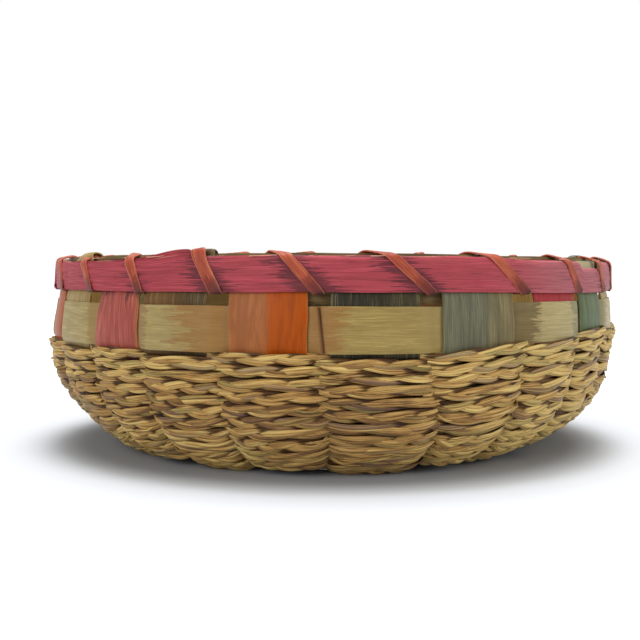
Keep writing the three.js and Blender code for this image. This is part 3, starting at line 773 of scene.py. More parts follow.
class PieceMesh:
    """Gathers lofted strips and strands into one mesh. Each corner keeps its place along and across the
    fibre, a seed for the strand's grain, and three marks that its finish reads."""

    def __init__(self):
        self.points = []
        self.faces = []
        self.fibres = []
        self.marks = []
        self.count = 0

    def loft(self, sections, ring, along, across, seed, marks=None):
        """Body through sections, an array of (stop, side, xyz). along holds a place for each stop and
        across one for each side, with one more at the end where the body closes on itself. marks is
        an array of (stop, side, 3)."""
        stops, sides, _ = sections.shape
        if marks is None:
            marks = np.zeros((stops, sides, 3))
        spans = stops if ring else stops - 1
        i, j = np.meshgrid(np.arange(spans), np.arange(sides), indexing="ij")
        corner_stops = np.stack([i, i, i + 1, i + 1], axis=-1).reshape(-1, 4)
        corner_sides = np.stack([j, j + 1, j + 1, j], axis=-1).reshape(-1, 4)
        if not ring:
            half = np.arange(sides // 2 - 1)
            cap = np.stack([half, half + 1, sides - 2 - half, sides - 1 - half], axis=-1)
            ends = (np.zeros_like(cap), np.full_like(cap, stops - 1))
            corner_stops = np.concatenate([corner_stops, *ends])
            corner_sides = np.concatenate([corner_sides, cap[:, ::-1], cap])
        at = (corner_stops % stops) * sides + corner_sides % sides
        flat = sections.reshape(-1, 3)
        a, b, c, d = (flat[at[:, k]] for k in range(4))
        center = flat.mean(axis=0)
        if np.einsum("ij,ij->", np.cross(c - a, d - b), a - center) < 0:
            corners = (at, corner_stops, corner_sides)
            at, corner_stops, corner_sides = (values[:, ::-1] for values in corners)
        fibre = np.stack([along[corner_stops], across[corner_sides], np.full(at.shape, seed)], axis=-1)
        self.points.append(flat)
        self.faces.append(at + self.count)
        self.fibres.append(fibre.reshape(-1, 3))
        self.marks.append(marks.reshape(-1, 3)[at].reshape(-1, 3))
        self.count += len(flat)

    def finish(self, name, material, slot, *nodes):
        """The piece itself, riding on the bowl in place of its CAD nodes"""
        mesh = bpy.data.meshes.new(name)
        mesh.from_pydata(np.concatenate(self.points).tolist(), [], np.concatenate(self.faces).tolist())
        for label, values in (("fibre", self.fibres), ("marks", self.marks)):
            attribute = mesh.attributes.new(label, "FLOAT_VECTOR", "CORNER")
            attribute.data.foreach_set("vector", np.concatenate(values).astype(np.float32).ravel())
        mesh.shade_smooth()
        mesh.set_sharp_from_angle(angle=SHARP_ANGLE)
        mesh.materials.append(material)
        piece = bpy.data.objects.new(name, mesh)
        bpy.context.scene.collection.objects.link(piece)
        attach(piece, "root")
        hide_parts(*nodes)
        return piece


# Nodes of the finishes

def add_node(tree, kind, settings=(), **inputs):
    """A node with its settings, and its inputs given by name as values or sockets"""
    node = tree.nodes.new(kind)
    for key, value in dict(settings).items():
        setattr(node, key, value)
    for key, value in inputs.items():
        feed(tree, node.inputs[key.replace("_", " ")], value)
    return node


def feed(tree, socket, value):
    if isinstance(value, bpy.types.NodeSocket):
        tree.links.new(value, socket)
    else:
        socket.default_value = value


def calc(tree, operation, *values):
    node = add_node(tree, "ShaderNodeMath", {"operation": operation})
    for socket, value in zip(node.inputs, values):
        feed(tree, socket, value)
    return node.outputs[0]


def plus(tree, first, second):
    return calc(tree, "ADD", first, second)


def minus(tree, first, second):
    return calc(tree, "SUBTRACT", first, second)


def times(tree, first, second):
    return calc(tree, "MULTIPLY", first, second)


def ease(tree, value, low, high):
    """0 below low, 1 above high, and a smooth rise between"""
    node = add_node(
        tree, "ShaderNodeMapRange", {"interpolation_type": "SMOOTHSTEP"},
        Value=value, From_Min=low, From_Max=high)
    return node.outputs["Result"]


def mix_colors(tree, share, first, second, mode="MIX"):
    node = add_node(tree, "ShaderNodeMix", {"data_type": "RGBA", "blend_type": mode})
    colors = [socket for socket in node.inputs if socket.type == "RGBA"]
    feed(tree, node.inputs[0], share)
    for socket, value in zip(colors, (first, second)):
        feed(tree, socket, value if isinstance(value, bpy.types.NodeSocket) else (*value[:3], 1.0))
    return next(socket for socket in node.outputs if socket.type == "RGBA")


def darken(tree, color, shares):
    """A colour multiplied by what is left of its red, green and blue"""
    return mix_colors(tree, 1.0, color, shares, "MULTIPLY")


def noise(tree, x, y, z, detail=3.0, roughness=0.6):
    place = add_node(tree, "ShaderNodeCombineXYZ", X=x, Y=y, Z=z).outputs[0]
    node = add_node(tree, "ShaderNodeTexNoise", Vector=place, Scale=1.0, Detail=detail, Roughness=roughness)
    return node.outputs["Fac"]


def read_mark(tree, label):
    """The three values of an attribute of the piece's corners"""
    attribute = add_node(tree, "ShaderNodeAttribute", {"attribute_name": label})
    parts = add_node(tree, "ShaderNodeSeparateXYZ", Vector=attribute.outputs["Vector"])
    return parts.outputs


def new_group(name, inputs, outputs):
    """An empty node group with float inputs, given with their defaults, and float outputs"""
    tree = bpy.data.node_groups.new(name, "ShaderNodeTree")
    for label, default in inputs.items():
        socket = tree.interface.new_socket(label, in_out="INPUT", socket_type="NodeSocketFloat")
        socket.default_value = default
    for label in outputs:
        tree.interface.new_socket(label, in_out="OUTPUT", socket_type="NodeSocketFloat")
    entry = tree.nodes.new("NodeGroupInput")
    leave = tree.nodes.new("NodeGroupOutput")
    return tree, entry.outputs, leave.inputs


def use_group(tree, group, **inputs):
    node = add_node(tree, "ShaderNodeGroup", {"node_tree": group}, **inputs)
    return node.outputs


def grain_group(name):
    """Long fibres of split ash: fine lines along the grain, and broad cloudy tone"""
    inputs = {"Along": 0.0, "Across": 0.0, "Seed": 0.0, "Lines": 2600.0, "Stretch": 45.0}
    tree, entry, leave = new_group(name, inputs, ("Grain", "Cloud", "Height"))
    across = times(tree, entry["Across"], entry["Lines"])
    along = times(tree, entry["Along"], entry["Stretch"])
    seed = times(tree, entry["Seed"], 31.7)
    grain = noise(tree, along, across, seed, 4.0, 0.65)
    broad = noise(tree, times(tree, along, 0.8), times(tree, across, 0.12), seed, 3.0)
    hair = noise(tree, times(tree, along, 0.5), times(tree, across, 3.1), seed, 2.0)
    feed(tree, leave["Grain"], ease(tree, grain, 0.28, 0.72))
    feed(tree, leave["Cloud"], ease(tree, broad, 0.25, 0.75))
    height = plus(tree, times(tree, grain, 0.7), times(tree, hair, 0.3))
    feed(tree, leave["Height"], height)
    return tree


def creep_group(name):
    """Dye that has crept along the fibres: a reach with ragged, streaky edges"""
    inputs = {"Reach": 0.0, "Along": 0.0, "Across": 0.0, "Seed": 0.0, "Ragged": 0.6, "Lines": 900.0}
    tree, entry, leave = new_group(name, inputs, ("Mask",))
    along = times(tree, entry["Along"], 75.0)
    across = times(tree, entry["Across"], entry["Lines"])
    seed = plus(tree, times(tree, entry["Seed"], 17.3), 5.0)
    streak = minus(tree, noise(tree, along, across, seed, 3.0, 0.7), 0.5)
    swing = times(tree, times(tree, streak, 2.0), entry["Ragged"])
    feed(tree, leave["Mask"], ease(tree, plus(tree, entry["Reach"], swing), 0.0, 0.16))
    return tree


def wear_group(name):
    """Pale wear on the edges of a strip, broken up by its fibres"""
    inputs = {"Edge": 0.0, "Grain": 0.5, "Width": 0.12}
    tree, entry, leave = new_group(name, inputs, ("Mask",))
    edge = calc(tree, "ABSOLUTE", entry["Edge"])
    near = minus(tree, edge, minus(tree, 1.0, entry["Width"]))
    rough = times(tree, minus(tree, entry["Grain"], 0.5), 0.12)
    feed(tree, leave["Mask"], ease(tree, plus(tree, near, rough), 0.0, 0.12))
    return tree


def tone_of(color, factor):
    return tuple(min(1.0, part * factor) for part in color)


def between(first, second, share):
    return tuple(a + (b - a) * share for a, b in zip(first, second))


class Finishes:
    """The materials of the bowl. Each is made once, when a piece first asks for it."""

    def __init__(self, colors):
        self.colors = colors

    def group(self, label, maker):
        """The node group with a name, made by its maker when it is first asked for"""
        return bpy.data.node_groups.get(label) or maker(label)

    def start(self, name):
        """A new material with its tree and shader, and the place along and across the fibre and the seed
        that the corners of a piece give it"""
        material = bpy.data.materials.new("finish_" + name)
        material.use_nodes = True
        tree = material.node_tree
        shader = tree.nodes["Principled BSDF"]
        shader.inputs["Specular IOR Level"].default_value = GLOSS_SHARE
        return material, tree, shader, tuple(read_mark(tree, "fibre"))

    def bump(self, tree, shader, height, strength, distance):
        node = add_node(tree, "ShaderNodeBump", Height=height, Strength=strength, Distance=distance)
        tree.links.new(node.outputs["Normal"], shader.inputs["Normal"])

    def close(self, tree, shader, color, grain, wood):
        """Give the shader its colour, and the roughness and relief of a wood's surface"""
        roughness, polish, strength, relief = SURFACES[wood]
        tree.links.new(color, shader.inputs["Base Color"])
        rough = plus(tree, times(tree, grain["Grain"], -polish), roughness)
        tree.links.new(rough, shader.inputs["Roughness"])
        self.bump(tree, shader, grain["Height"], strength, relief)

    def grain(self, tree, fibre, wood):
        along, across, seed = fibre
        lines, stretch = GRAINS[wood]
        group = self.group("Ash grain", grain_group)
        return use_group(tree, group, Along=along, Across=across, Seed=seed, Lines=lines, Stretch=stretch)

    def creep(self, tree, fibre, reach, kind):
        """Mask of dye or stain that has crept along the fibre over a reach"""
        along, across, seed = fibre
        ragged, lines = CREEPS[kind]
        return use_group(
            tree, self.group("Dye creep", creep_group), Reach=reach, Along=along, Across=across, Seed=seed,
            Ragged=ragged, Lines=lines)["Mask"]

    def wear(self, tree, edge, grain, width):
        """Mask of the worn edges of a strip, by the place across it and the width that is worn"""
        group = self.group("Edge wear", wear_group)
        return use_group(tree, group, Edge=edge, Grain=grain["Grain"], Width=width)["Mask"]

    def cover(self, tree, mask, effect, color, tone):
        """The colour covered by a tone where the mask is, as strongly as the effect is"""
        return mix_colors(tree, times(tree, mask, STRENGTH_SHARES[effect]), color, tone)

    def grained_color(self, tree, color, grain, contrast, lift):
        """The colour darkened in the pores and lifted on the ridges of the grain"""
        dark = darken(tree, color, (1 - contrast, 1 - 1.05 * contrast, 1 - 1.1 * contrast))
        light = mix_colors(tree, lift, color, PALE_RIDGE)
        pores = mix_colors(tree, grain["Grain"], dark, color)
        share = times(tree, ease(tree, grain["Grain"], 0.6, 1.0), grain["Cloud"])
        return mix_colors(tree, share, pores, light)

    def splint(self, name, second, split, softness, contrast, lift):
        """Dyed long splint: the dye turns to a second tone past a share of its width, it is darkened under
        the rim, its cut edges are worn pale, and painted shade darkens it between the braided rows"""
        material, tree, shader, fibre = self.start("ash_" + name)
        height_mark, across_mark, painted_shade_and_bare_mark = read_mark(tree, "marks")
        dye = tuple(getattr(self.colors, name))
        grain = self.grain(tree, fibre, "splint")
        wobble = times(tree, minus(tree, grain["Cloud"], 0.5), softness)
        side = ease(tree, plus(tree, across_mark, wobble), split - softness, split + softness)
        # On the orange splint the first tone, left of the middle, is a painted reflection
        color = mix_colors(tree, side, dye, second)
        clouded = darken(tree, color, CLOUDED_SHARES)
        color = mix_colors(tree, ease(tree, grain["Cloud"], 0.75, 0.15), color, clouded)
        color = self.grained_color(tree, color, grain, contrast, lift)
        # The upright darkens towards its top, right under the rim, with ragged streaky edges
        dark_top = self.creep(tree, fibre, minus(tree, height_mark, DARK_TOP_START_SHARE), "dark_top")
        color = self.cover(tree, dark_top, "dark_top", color, tuple(self.colors.stain_and_shade))
        wear = self.wear(tree, across_mark, grain, 0.05)
        pale = between(dye, tuple(self.colors.natural), STRENGTH_SHARES["splint_pale"])
        color = self.cover(tree, wear, "splint_wear", color, pale)
        # Painted shade: the splint is darkened between the braided rows, and the same mark made negative
        # bares an upright's tip to plain wood
        painted_shade_color = darken(tree, color, PAINTED_SHADE_SPLINT_SHARES)
        color = mix_colors(tree, painted_shade_and_bare_mark, color, painted_shade_color)
        bare = times(tree, painted_shade_and_bare_mark, -1.0)
        color = mix_colors(tree, bare, color, BARE_WOOD)
        self.close(tree, shader, color, grain, "splint")
        return material

    def base(self):
        """Undyed weaver of the base, browned in clouds"""
        material, tree, shader, fibre = self.start("ash_base")
        grain = self.grain(tree, fibre, "base")
        color = self.grained_color(tree, tuple(self.colors.base), grain, 0.35, 0.3)
        brown = darken(tree, color, BROWNED_SHARES)
        color = mix_colors(tree, ease(tree, grain["Cloud"], 0.6, 0.1), color, brown)
        self.close(tree, shader, color, grain, "base")
        return material

    def band(self):
        """Broad weaver: yellow tan, with its neighbours' dye crept in along the fibres"""
        material, tree, shader, fibre = self.start("ash_band")
        reach, end, faded = read_mark(tree, "marks")
        creeping = add_node(tree, "ShaderNodeAttribute", {"attribute_name": "creeping_dye"})
        grain = self.grain(tree, fibre, "band")
        plain = mix_colors(tree, grain["Cloud"], BAND_CLOUD, tuple(self.colors.band))
        plain = self.cover(tree, faded, "band_fading", plain, BAND_FADED)
        color = self.grained_color(tree, plain, grain, 0.26, 0.22)
        mask = self.creep(tree, fibre, reach, "dye")
        halo = self.creep(tree, fibre, plus(tree, reach, HALO_SHARE), "halo")
        stained = mix_colors(tree, STRENGTH_SHARES["band_stain"], color, creeping.outputs["Color"])
        color = self.cover(tree, halo, "halo", color, stained)
        color = self.cover(tree, mask, "dye", color, stained)
        color = mix_colors(tree, end, color, BAND_END)
        self.close(tree, shader, color, grain, "band")
        return material

    def hoop(self):
        """Raspberry lath: rough long fibres, dark stain beside the wraps, torn pale edge on top"""
        material, tree, shader, fibre = self.start("hoop_red")
        reach, faded, pale_mark = read_mark(tree, "marks")
        grain = self.grain(tree, fibre, "hoop")
        dye = tuple(self.colors.hoop)
        bright = between(dye, HOOP_BRIGHT, STRENGTH_SHARES["hoop_bright"])
        tone = mix_colors(tree, grain["Cloud"], tone_of(dye, 0.85), bright)
        tone = self.cover(tree, faded, "hoop_fading", tone, HOOP_FADED)
        color = self.grained_color(tree, tone, grain, 0.36, 0.05)
        mask = self.creep(tree, fibre, reach, "hoop_stain")
        color = self.cover(tree, mask, "hoop_stain", color, tuple(self.colors.stain_and_shade))
        torn = ease(tree, plus(tree, pale_mark, times(tree, grain["Grain"], 0.5)), 0.95, 1.25)
        color = mix_colors(tree, torn, color, HOOP_TORN)
        self.close(tree, shader, color, grain, "hoop")
        return material

    def plain_hoop(self):
        """Undyed lath, darkened in clouds"""
        material, tree, shader, fibre = self.start("hoop_inner")
        grain = self.grain(tree, fibre, "plain_hoop")
        plain = tuple(self.colors.plain_hoop)
        dark = between(plain, PLAIN_HOOP_DARK, STRENGTH_SHARES["plain_hoop_dark"])
        tone = mix_colors(tree, grain["Cloud"], dark, plain)
        color = self.grained_color(tree, tone, grain, 0.4, 0.3)
        self.close(tree, shader, color, grain, "plain_hoop")
        return material

    def lashing(self):
        """Narrow lashing strip: orange red, with painted shade darkening each wrap towards its foot and
        darkest where it turns in under the hoops, pale at its edges
        """
        material, tree, shader, fibre = self.start("lashing")
        foot, across_mark, _ = read_mark(tree, "marks")
        grain = self.grain(tree, fibre, "lashing")
        dye = tuple(self.colors.lashing)
        bright = between(dye, LASHING_BRIGHT, STRENGTH_SHARES["lashing_bright"])
        tone = mix_colors(tree, grain["Cloud"], tone_of(dye, 0.82), bright)
        color = self.grained_color(tree, tone, grain, 0.35, 0.25)
        # Painted shade: each wrap darkens towards its foot, and its lower end and underside, where it turns
        # in under the hoops, take the dark stain colour
        mask = self.creep(tree, fibre, minus(tree, foot, WRAP_SHADE_START_SHARE), "lashing_foot")
        color = self.cover(tree, mask, "lashing_foot", color, LASHING_FOOT_SHADE)
        color = mix_colors(tree, ease(tree, foot, 0.88, 1.02), color, tuple(self.colors.stain_and_shade))
        wear = self.wear(tree, across_mark, grain, 0.22)
        color = self.cover(tree, wear, "lashing_wear", color, LASHING_WORN)
        self.close(tree, shader, color, grain, "lashing")
        return material

    def sweetgrass(self):
        """Dried sweetgrass: straw, ochre and umber blades, some gone mauve or mossy"""
        material, tree, shader, fibre = self.start("sweetgrass")
        along, across, seed = fibre
        painted_lit, tone, hue = read_mark(tree, "marks")
        shade = times(tree, seed, 41.3)
        blades, veins, patch, tint = (
            noise(tree, times(tree, along, stretch), times(tree, across, lines), shade, detail)
            for stretch, lines, detail in BLADE_STREAKS)
        depth = plus(tree, times(tree, blades, 0.80), times(tree, patch, 0.80))
        # The tone mark, a length's own tone with painted light and shade added, moves the blades towards
        # umber or towards straw
        depth = plus(tree, depth, times(tree, minus(tree, tone, 0.5), 0.24))
        straw, ochre, umber, mauve, moss = (
            tuple(getattr(self.colors, name)) for name in ("straw", "ochre", "umber", "mauve", "moss"))
        color = mix_colors(tree, ease(tree, depth, 0.50, 0.74), umber, ochre)
        color = mix_colors(tree, ease(tree, depth, 0.72, 0.98), color, straw)
        tint = plus(tree, times(tree, tint, 0.5), times(tree, hue, 0.5))
        color = self.cover(tree, ease(tree, tint, 0.62, 0.74), "mauve", color, mauve)
        color = self.cover(tree, ease(tree, tint, 0.36, 0.26), "moss", color, moss)
        lined = darken(tree, color, VEIN_SHARES)
        color = mix_colors(tree, ease(tree, veins, 0.52, 0.36), color, lined)
        # Painted shade: blades low in the weave, at the edges of a row and in the gaps are darkened
        shaded = darken(tree, color, PAINTED_SHADE_GRASS_SHARES)
        color = mix_colors(tree, ease(tree, painted_lit, 0.46, 0.0), color, shaded)
        tree.links.new(color, shader.inputs["Base Color"])
        rough = plus(tree, times(tree, veins, 0.25), 0.36)
        tree.links.new(rough, shader.inputs["Roughness"])
        height = plus(tree, times(tree, veins, 0.6), times(tree, blades, 0.9))
        self.bump(tree, shader, height, 0.7, BLADE_RELIEF)
        return material

    def get(self, name):
        """The material of a finish, by the name of its slot"""
        found = bpy.data.materials.get("finish_" + name)
        if found:
            return found
        makers = {
            "ash_base": self.base, "ash_band": self.band, "hoop_red": self.hoop,
            "hoop_inner": self.plain_hoop, "lashing": self.lashing, "sweetgrass": self.sweetgrass,
        }
        if name in makers:
            return makers[name]()
        dye = name.removeprefix("ash_")
        plain = (tone_of(tuple(getattr(self.colors, dye)), 0.9), *PLAIN_TONE_SHARES)
        return self.splint(dye, *SECOND_TONES.get(dye, plain))


def lay_row(bowl, row):
    """Where a braided row lies: its middle along the wall line and its distance out of it at each stop,
    how it is squeezed and flattened in the gaps, and the phase of its plait"""
    sizes = bowl.sizes
    lowest = bowl.foot_level + sizes.lowest_row_rise
    pitch = (bowl.band_bottom - lowest) / (sizes.rows - 1 + TOP_ROW_SHARE)
    level = bowl.band_bottom - (TOP_ROW_SHARE + row) * pitch
    reach = bowl.at_level(level + pitch) - bowl.at_level(level - pitch)
    if row == 0:
        reach = 2 * pitch * TOP_ROW_SHARE
    start = bowl.gaps[(FIRST_ROW_GAP + NEXT_ROW_GAPS * row) % UPRIGHTS]
    turn = np.linspace(0, FULL_TURN, UPRIGHTS * ROW_STEPS + 1)
    angle = start + turn[:-1]
    side, place, _ = bowl.weave(angle, row)
    nearness = np.abs(place)
    evenly, late = TURNING_SHARES
    passing = side * (1 - evenly * nearness ** 2 - late * nearness ** 5)
    lower = smooth(level, bowl.corner_top, bowl.foot_level)
    apart = (sizes.upright_thickness + sizes.braid_thickness) / 2 + ROW_GAP + LOW_ROW_GAP * lower
    climb = bowl.climb(angle)
    height = (level - lowest) / (bowl.band_bottom - lowest)
    middle = bowl.at_level(level + ROW_CLIMB_SHARE * climb * height)
    radius = bowl.off_line(middle.mean(), 0.0)[0]
    middle = middle - ROW_FALL * nearness ** 4 * smooth(level, lowest + 3 * pitch, lowest)
    thrust = ROW_THRUST * nearness ** 3 * smooth(level, lowest + pitch, lowest)
    fuller = 1 + FULLER_SHARE * climb / sizes.band_width
    squeezed = (SWELL_SHARE * lower - SQUEEZE_SHARE) * nearness ** 4
    return SimpleNamespace(
        turn=turn, angle=angle, nearness=nearness, level=level, radius=radius, half_height=reach / 2,
        middle=middle, offset=passing * apart + thrust,
        squeeze=fuller * (1 + squeezed), flatten=1 - FLATTENING_SHARE * nearness ** 6,
        sway=ROW_SWAY * ripple(400 + row // 3, 9, angle) + ROW_WAVER * ripple(row, 30, angle),
        phase=round(FULL_TURN * radius / PLAIT_LENGTH) * angle + PLAIT_WAVER * ripple(90 + row, 14, angle))


def weave_row(bowl, row):
    """One braided row: a flat plait of strands, each of a few blades, over and under the uprights"""
    line = lay_row(bowl, row)
    wide = line.half_height > WIDE_ROW
    strands, swing_share, width_share = WIDE_PLAIT_SHARES if wide else NARROW_PLAIT_SHARES
    swing = line.half_height * swing_share
    half_width = line.half_height * width_share
    bob = BOB_SHARE * bowl.sizes.braid_thickness / 2
    half_depth = bowl.sizes.braid_thickness / 2 - bob
    around = np.linspace(0, FULL_TURN, BLADE_SIDES + 1)
    random = np.random.default_rng(7 * row + 3)
    piece = PieceMesh()
    for strand in range(strands):
        strand_seed = 1000 * row + 20 * strand
        beat = line.phase + strand * FULL_TURN / strands
        length_number = np.floor((2 * beat + math.pi / 2) / FULL_TURN).astype(int)
        length_number -= length_number.min()
        for blade in range(BLADES):
            tones = random.uniform(0, 1, length_number.max() + 1)[length_number]
            hues = random.uniform(0, 1, length_number.max() + 1)[length_number]
            fat = 1 + BLADE_WAVER_SHARE * ripple(strand_seed + blade, 40, line.angle)
            twist = blade * FULL_TURN / BLADES + ripple(strand_seed + 9, 14, line.angle)
            waver = SWING_WAVER_SHARE * ripple(strand_seed + blade + 5, 40, line.angle)
            swung = swing * np.sin(beat) * (1 + waver)
            aside = line.squeeze * (swung + BLADE_SPREAD_SHARE * half_width * np.cos(twist))
            lift = line.flatten * (bob * np.sin(2 * beat) + BLADE_LIFT_SHARE * half_depth * np.sin(twist))
            wide_way = BLADE_WIDTH_SHARE * line.squeeze * fat * half_width
            deep_way = BLADE_DEPTH_SHARE * line.flatten * fat * half_depth
            aside = aside[:, None] + wide_way[:, None] * np.cos(around[:-1])
            lift = lift[:, None] + deep_way[:, None] * np.sin(around[:-1])
            across = (line.middle + line.sway)[:, None] + aside
            sections = bowl.on_wall(line.angle[:, None], across, line.offset[:, None] + lift)
            # Painted shade: how far each blade is lit, less where it lies low or aside in the row and in
            # the gaps; its finish darkens the rest
            painted_lit = smooth(np.abs(lift) / (bob + PROUD_DEPTH_SHARE * half_depth), *PROUD_SHARES)
            painted_lit = painted_lit * smooth(np.abs(aside) / line.half_height, *ASIDE_SHARES)
            marks = np.zeros(sections.shape)
            marks[:, :, 0] = painted_lit * (1 - GAP_SHADE_SHARE * line.nearness ** 8)[:, None]
            # The tone mark holds each length's own tone, with painted light and shade by place round the
            # bowl added
            marks[:, :, 1] = (tones + bowl.painted_light_and_shade(line.angle, line.level))[:, None]
            marks[:, :, 2] = hues[:, None]
            breadth = around * half_width / 2
            piece.loft(sections, True, line.turn * line.radius, breadth, random.uniform(0, 1), marks)
    add_straws(bowl, piece, row, line)
    return piece


def add_straws(bowl, piece, row, line):
    """Ends of straws that have come loose and lie over a braided row"""
    sizes = bowl.sizes
    random = np.random.default_rng(900 + row)
    share = np.linspace(0, 1, STRAW_STEPS)
    around = np.linspace(0, FULL_TURN, STRAW_SIDES + 1)
    lifted = sizes.upright_thickness / 2 + sizes.braid_thickness + STRAW_LIFT
    for _ in range(LOOSE_STRAWS):
        start = bowl.gaps[random.integers(UPRIGHTS)] - STRAW_START / line.radius
        length = random.uniform(*STRAW_LENGTHS)
        angle = start + random.choice((-1, 1)) * share * length / line.radius
        body = STRAW_RADIUS * np.sqrt(np.clip(1 - share, 0.03, 1))
        rise = smooth(share, *STRAW_RISE_SHARES) * lifted
        out = rise + random.uniform(*STRAW_END_LIFTS) * share ** 2
        drift = random.uniform(*STRAW_DRIFT_SHARES) * line.half_height
        place = random.uniform(*STRAW_PLACE_SHARES) * line.half_height
        across = line.middle.mean() + drift * share + place
        wide_way = STRAW_WIDTH_SHARE * body[:, None] * np.cos(around[:-1])
        deep_way = STRAW_DEPTH_SHARE * body[:, None] * np.sin(around[:-1])
        sections = bowl.on_wall(angle[:, None], across[:, None] + wide_way, out[:, None] + deep_way)
        marks = np.full(sections.shape, STRAW_MARK_SHARE)
        seed = random.uniform(*STRAW_SEED_SHARES)
        piece.loft(sections, False, share * length, around * STRAW_GRAIN, seed, marks)


def fold_in(bowl, radius, level, along):
    """Carry the line of an upright on over the inner hoop and down inside it"""
    sizes = bowl.sizes
    inside = sizes.wall_radius - sizes.rim_inset - FOLD_INSET
    fold = np.linspace(0, 1, FOLD_STEPS)[1:]
    drop = np.linspace(0, FOLD_DROP, DROP_STEPS)[1:]
    arc_radius = inside + (radius[-1] - inside) / 2 * (1 + np.cos(math.pi * fold))
    arc_level = level[-1] + FOLD_ARCH * np.sin(math.pi * fold) + FOLD_RISE * smooth(fold, 0, 0.2)
    return (
        np.concatenate([radius, arc_radius, np.full_like(drop, inside)]),
        np.concatenate([level, arc_level, arc_level[-1] - drop]),
        np.concatenate([along, along[-1] + fold * FOLD_LENGTH, along[-1] + FOLD_LENGTH + drop]),
    )


def trace_splint(bowl, number, index):
    """Half of a long splint, from the middle of the base to the rim, where it is the upright of an index:
    radius, level, direction and half width at each stop"""
    sizes = bowl.sizes
    top = bowl.rim_length - SPLINT_RIM_GAP
    along = np.linspace(0, top, SPLINT_STEPS)
    under_rim = bowl.at_level(sizes.rim_level - SPLINT_LEAN_DEPTH)
    lean = SPLINT_LEAN * smooth(along, bowl.at_level(bowl.band_top), under_rim)
    band_middle = bowl.at_level((bowl.band_top + bowl.band_bottom) / 2)
    pressed = SPLINT_PRESS * (-1) ** index * smooth(np.abs(along - band_middle), *SPLINT_PRESS_REACHES)
    radius, level = bowl.off_line(along, lean + pressed)
    if index in FOLDED_UPRIGHTS:
        radius, level, along = fold_in(bowl, radius, level, along)
    settled = smooth(radius, bowl.crossing_radius, bowl.settled_radius)
    settled = np.where(along > bowl.at_radius(bowl.foot_inside), 1.0, settled)
    level = level + number * sizes.layer_step * (1 - settled)
    leaning, torn = FOLDED_UPRIGHTS.get(index, (0, 0))
    half_width = np.maximum(sizes.waist_width / 2, radius * math.tan(bowl.half_angles[number]))
    half_width *= 1 - TIP_SHARE * ramp(along, top, TIP_OFFSETS)
    half_width *= 1 - torn * ramp(along, top, TORN_OFFSETS)
    taper = TAPER_SHARE * smooth(along, bowl.at_level(bowl.band_bottom), top) * (index in TAPERED_UPRIGHTS)
    out = np.gradient(radius, along)
    up = np.gradient(level, along)
    steep = np.hypot(out, up)
    return SimpleNamespace(
        top=top, along=along, radius=radius, level=level, out=out / steep, up=up / steep, settled=settled,
        half_width=half_width, shift=leaning * ramp(along, top, SHIFT_OFFSETS), taper=taper)


def shape_splint(bowl, number, end):
    """Sections, marks and lengths of half a long splint, at its front end (1) or its far end (-1)"""
    sizes = bowl.sizes
    index = number if end > 0 else number + LONG_SPLINTS
    angle = bowl.angles[index] if end > 0 else bowl.angles[index] - math.pi
    line = trace_splint(bowl, number, index)
    radius = line.radius[:, None]
    level = line.level[:, None]
    settled = line.settled[:, None]
    across = np.linspace(-1, 1, SPLINT_COLUMNS)
    wavering = ripple(600 + 2 * number + (end > 0), 14, line.along * SPLINT_WAVER_RATE)
    half_width = (line.half_width * (1 + SPLINT_WAVER_SHARE * wavering))[:, None]
    width = half_width * across * (1 - line.taper[:, None] * (end * across < 0))
    arch = width ** 2 / (2 * np.maximum(radius, SPLINT_BEND)) * settled
    half = sizes.upright_thickness / 2 - SPLINT_THINNING * (1 - settled)
    half = half * (1 - SPLINT_EDGE_SHARE * across ** 8)
    faces = []
    for face in (1, -1):
        face_radius = radius - arch + face * half * line.up[:, None]
        face_level = level - face * half * line.out[:, None]
        aside = width + end * line.shift[:, None]
        faces.append(bowl.turn(np.full_like(face_radius, angle), end * face_radius, face_level, aside))
    body = np.concatenate([faces[0], faces[1][:, ::-1]], axis=1)
    height = (line.level - bowl.band_bottom) / (sizes.rim_level - bowl.band_bottom)
    # The listed uprights darken from lower down under the rim than the others
    lighter_top = 0 if index in DARK_TOPPED_UPRIGHTS else LIGHTER_TOP_SHARE
    # Painted shade between the braided rows, from the foot's edge up to the broad weaver's lower edge
    painted_shade_reach = ramp(radius, bowl.foot_outside, PAINTED_SHADE_OFFSETS)
    marks = np.zeros(body.shape)
    marks[:, :, 0] = np.where(line.along > line.top, 0, height - lighter_top)[:, None]
    marks[:, :, 1] = np.concatenate([across, across[::-1]])
    marks[:, :, 2] = painted_shade_reach * smooth(level, bowl.band_bottom, bowl.band_bottom - PAINTED_SHADE_DEPTH)
    if index == BARE_TIP:
        marks[:, :, 2] -= ramp(level, sizes.rim_level, BARE_TIP_OFFSETS)
    return body, marks, end * line.along


def bend_splint(bowl, number):
    """Long splint: down from the rim, waisted across the domed base over the splints before it, and up"""
    near = shape_splint(bowl, number, 1)
    far = shape_splint(bowl, number, -1)
    body, marks, along = (np.concatenate([back[:0:-1], front]) for back, front in zip(far, near))
    across = np.linspace(-1, 1, SPLINT_COLUMNS)
    breadth = np.concatenate([across, across[::-1], across[:1]])
    breadth = breadth * bowl.sizes.wall_radius * math.tan(bowl.half_angles[number])
    piece = PieceMesh()
    piece.loft(body, False, along, breadth, number / LONG_SPLINTS, marks)
    return piece


def flat_weaver(bowl, angle, length, half_width, offset, half_thickness, columns, slant=0.0):
    """Sections of a flat strip along the angles, its middle at a length along the wall line, and the
    places across it. slant is how far its upper edge falls back, in angles."""
    across = np.linspace(-1, 1, columns)
    thin = half_thickness * (1 - STRIP_EDGE_SHARE * across ** 8)
    rows = [
        bowl.on_wall(angle - slant * order[None, :], length + half_width * order[None, :],
                     offset[:, None] + face * thin)
        for face, order in ((1, across), (-1, across[::-1]))
    ]
    return np.concatenate(rows, axis=1), np.concatenate([across, across[::-1], across[:1]])


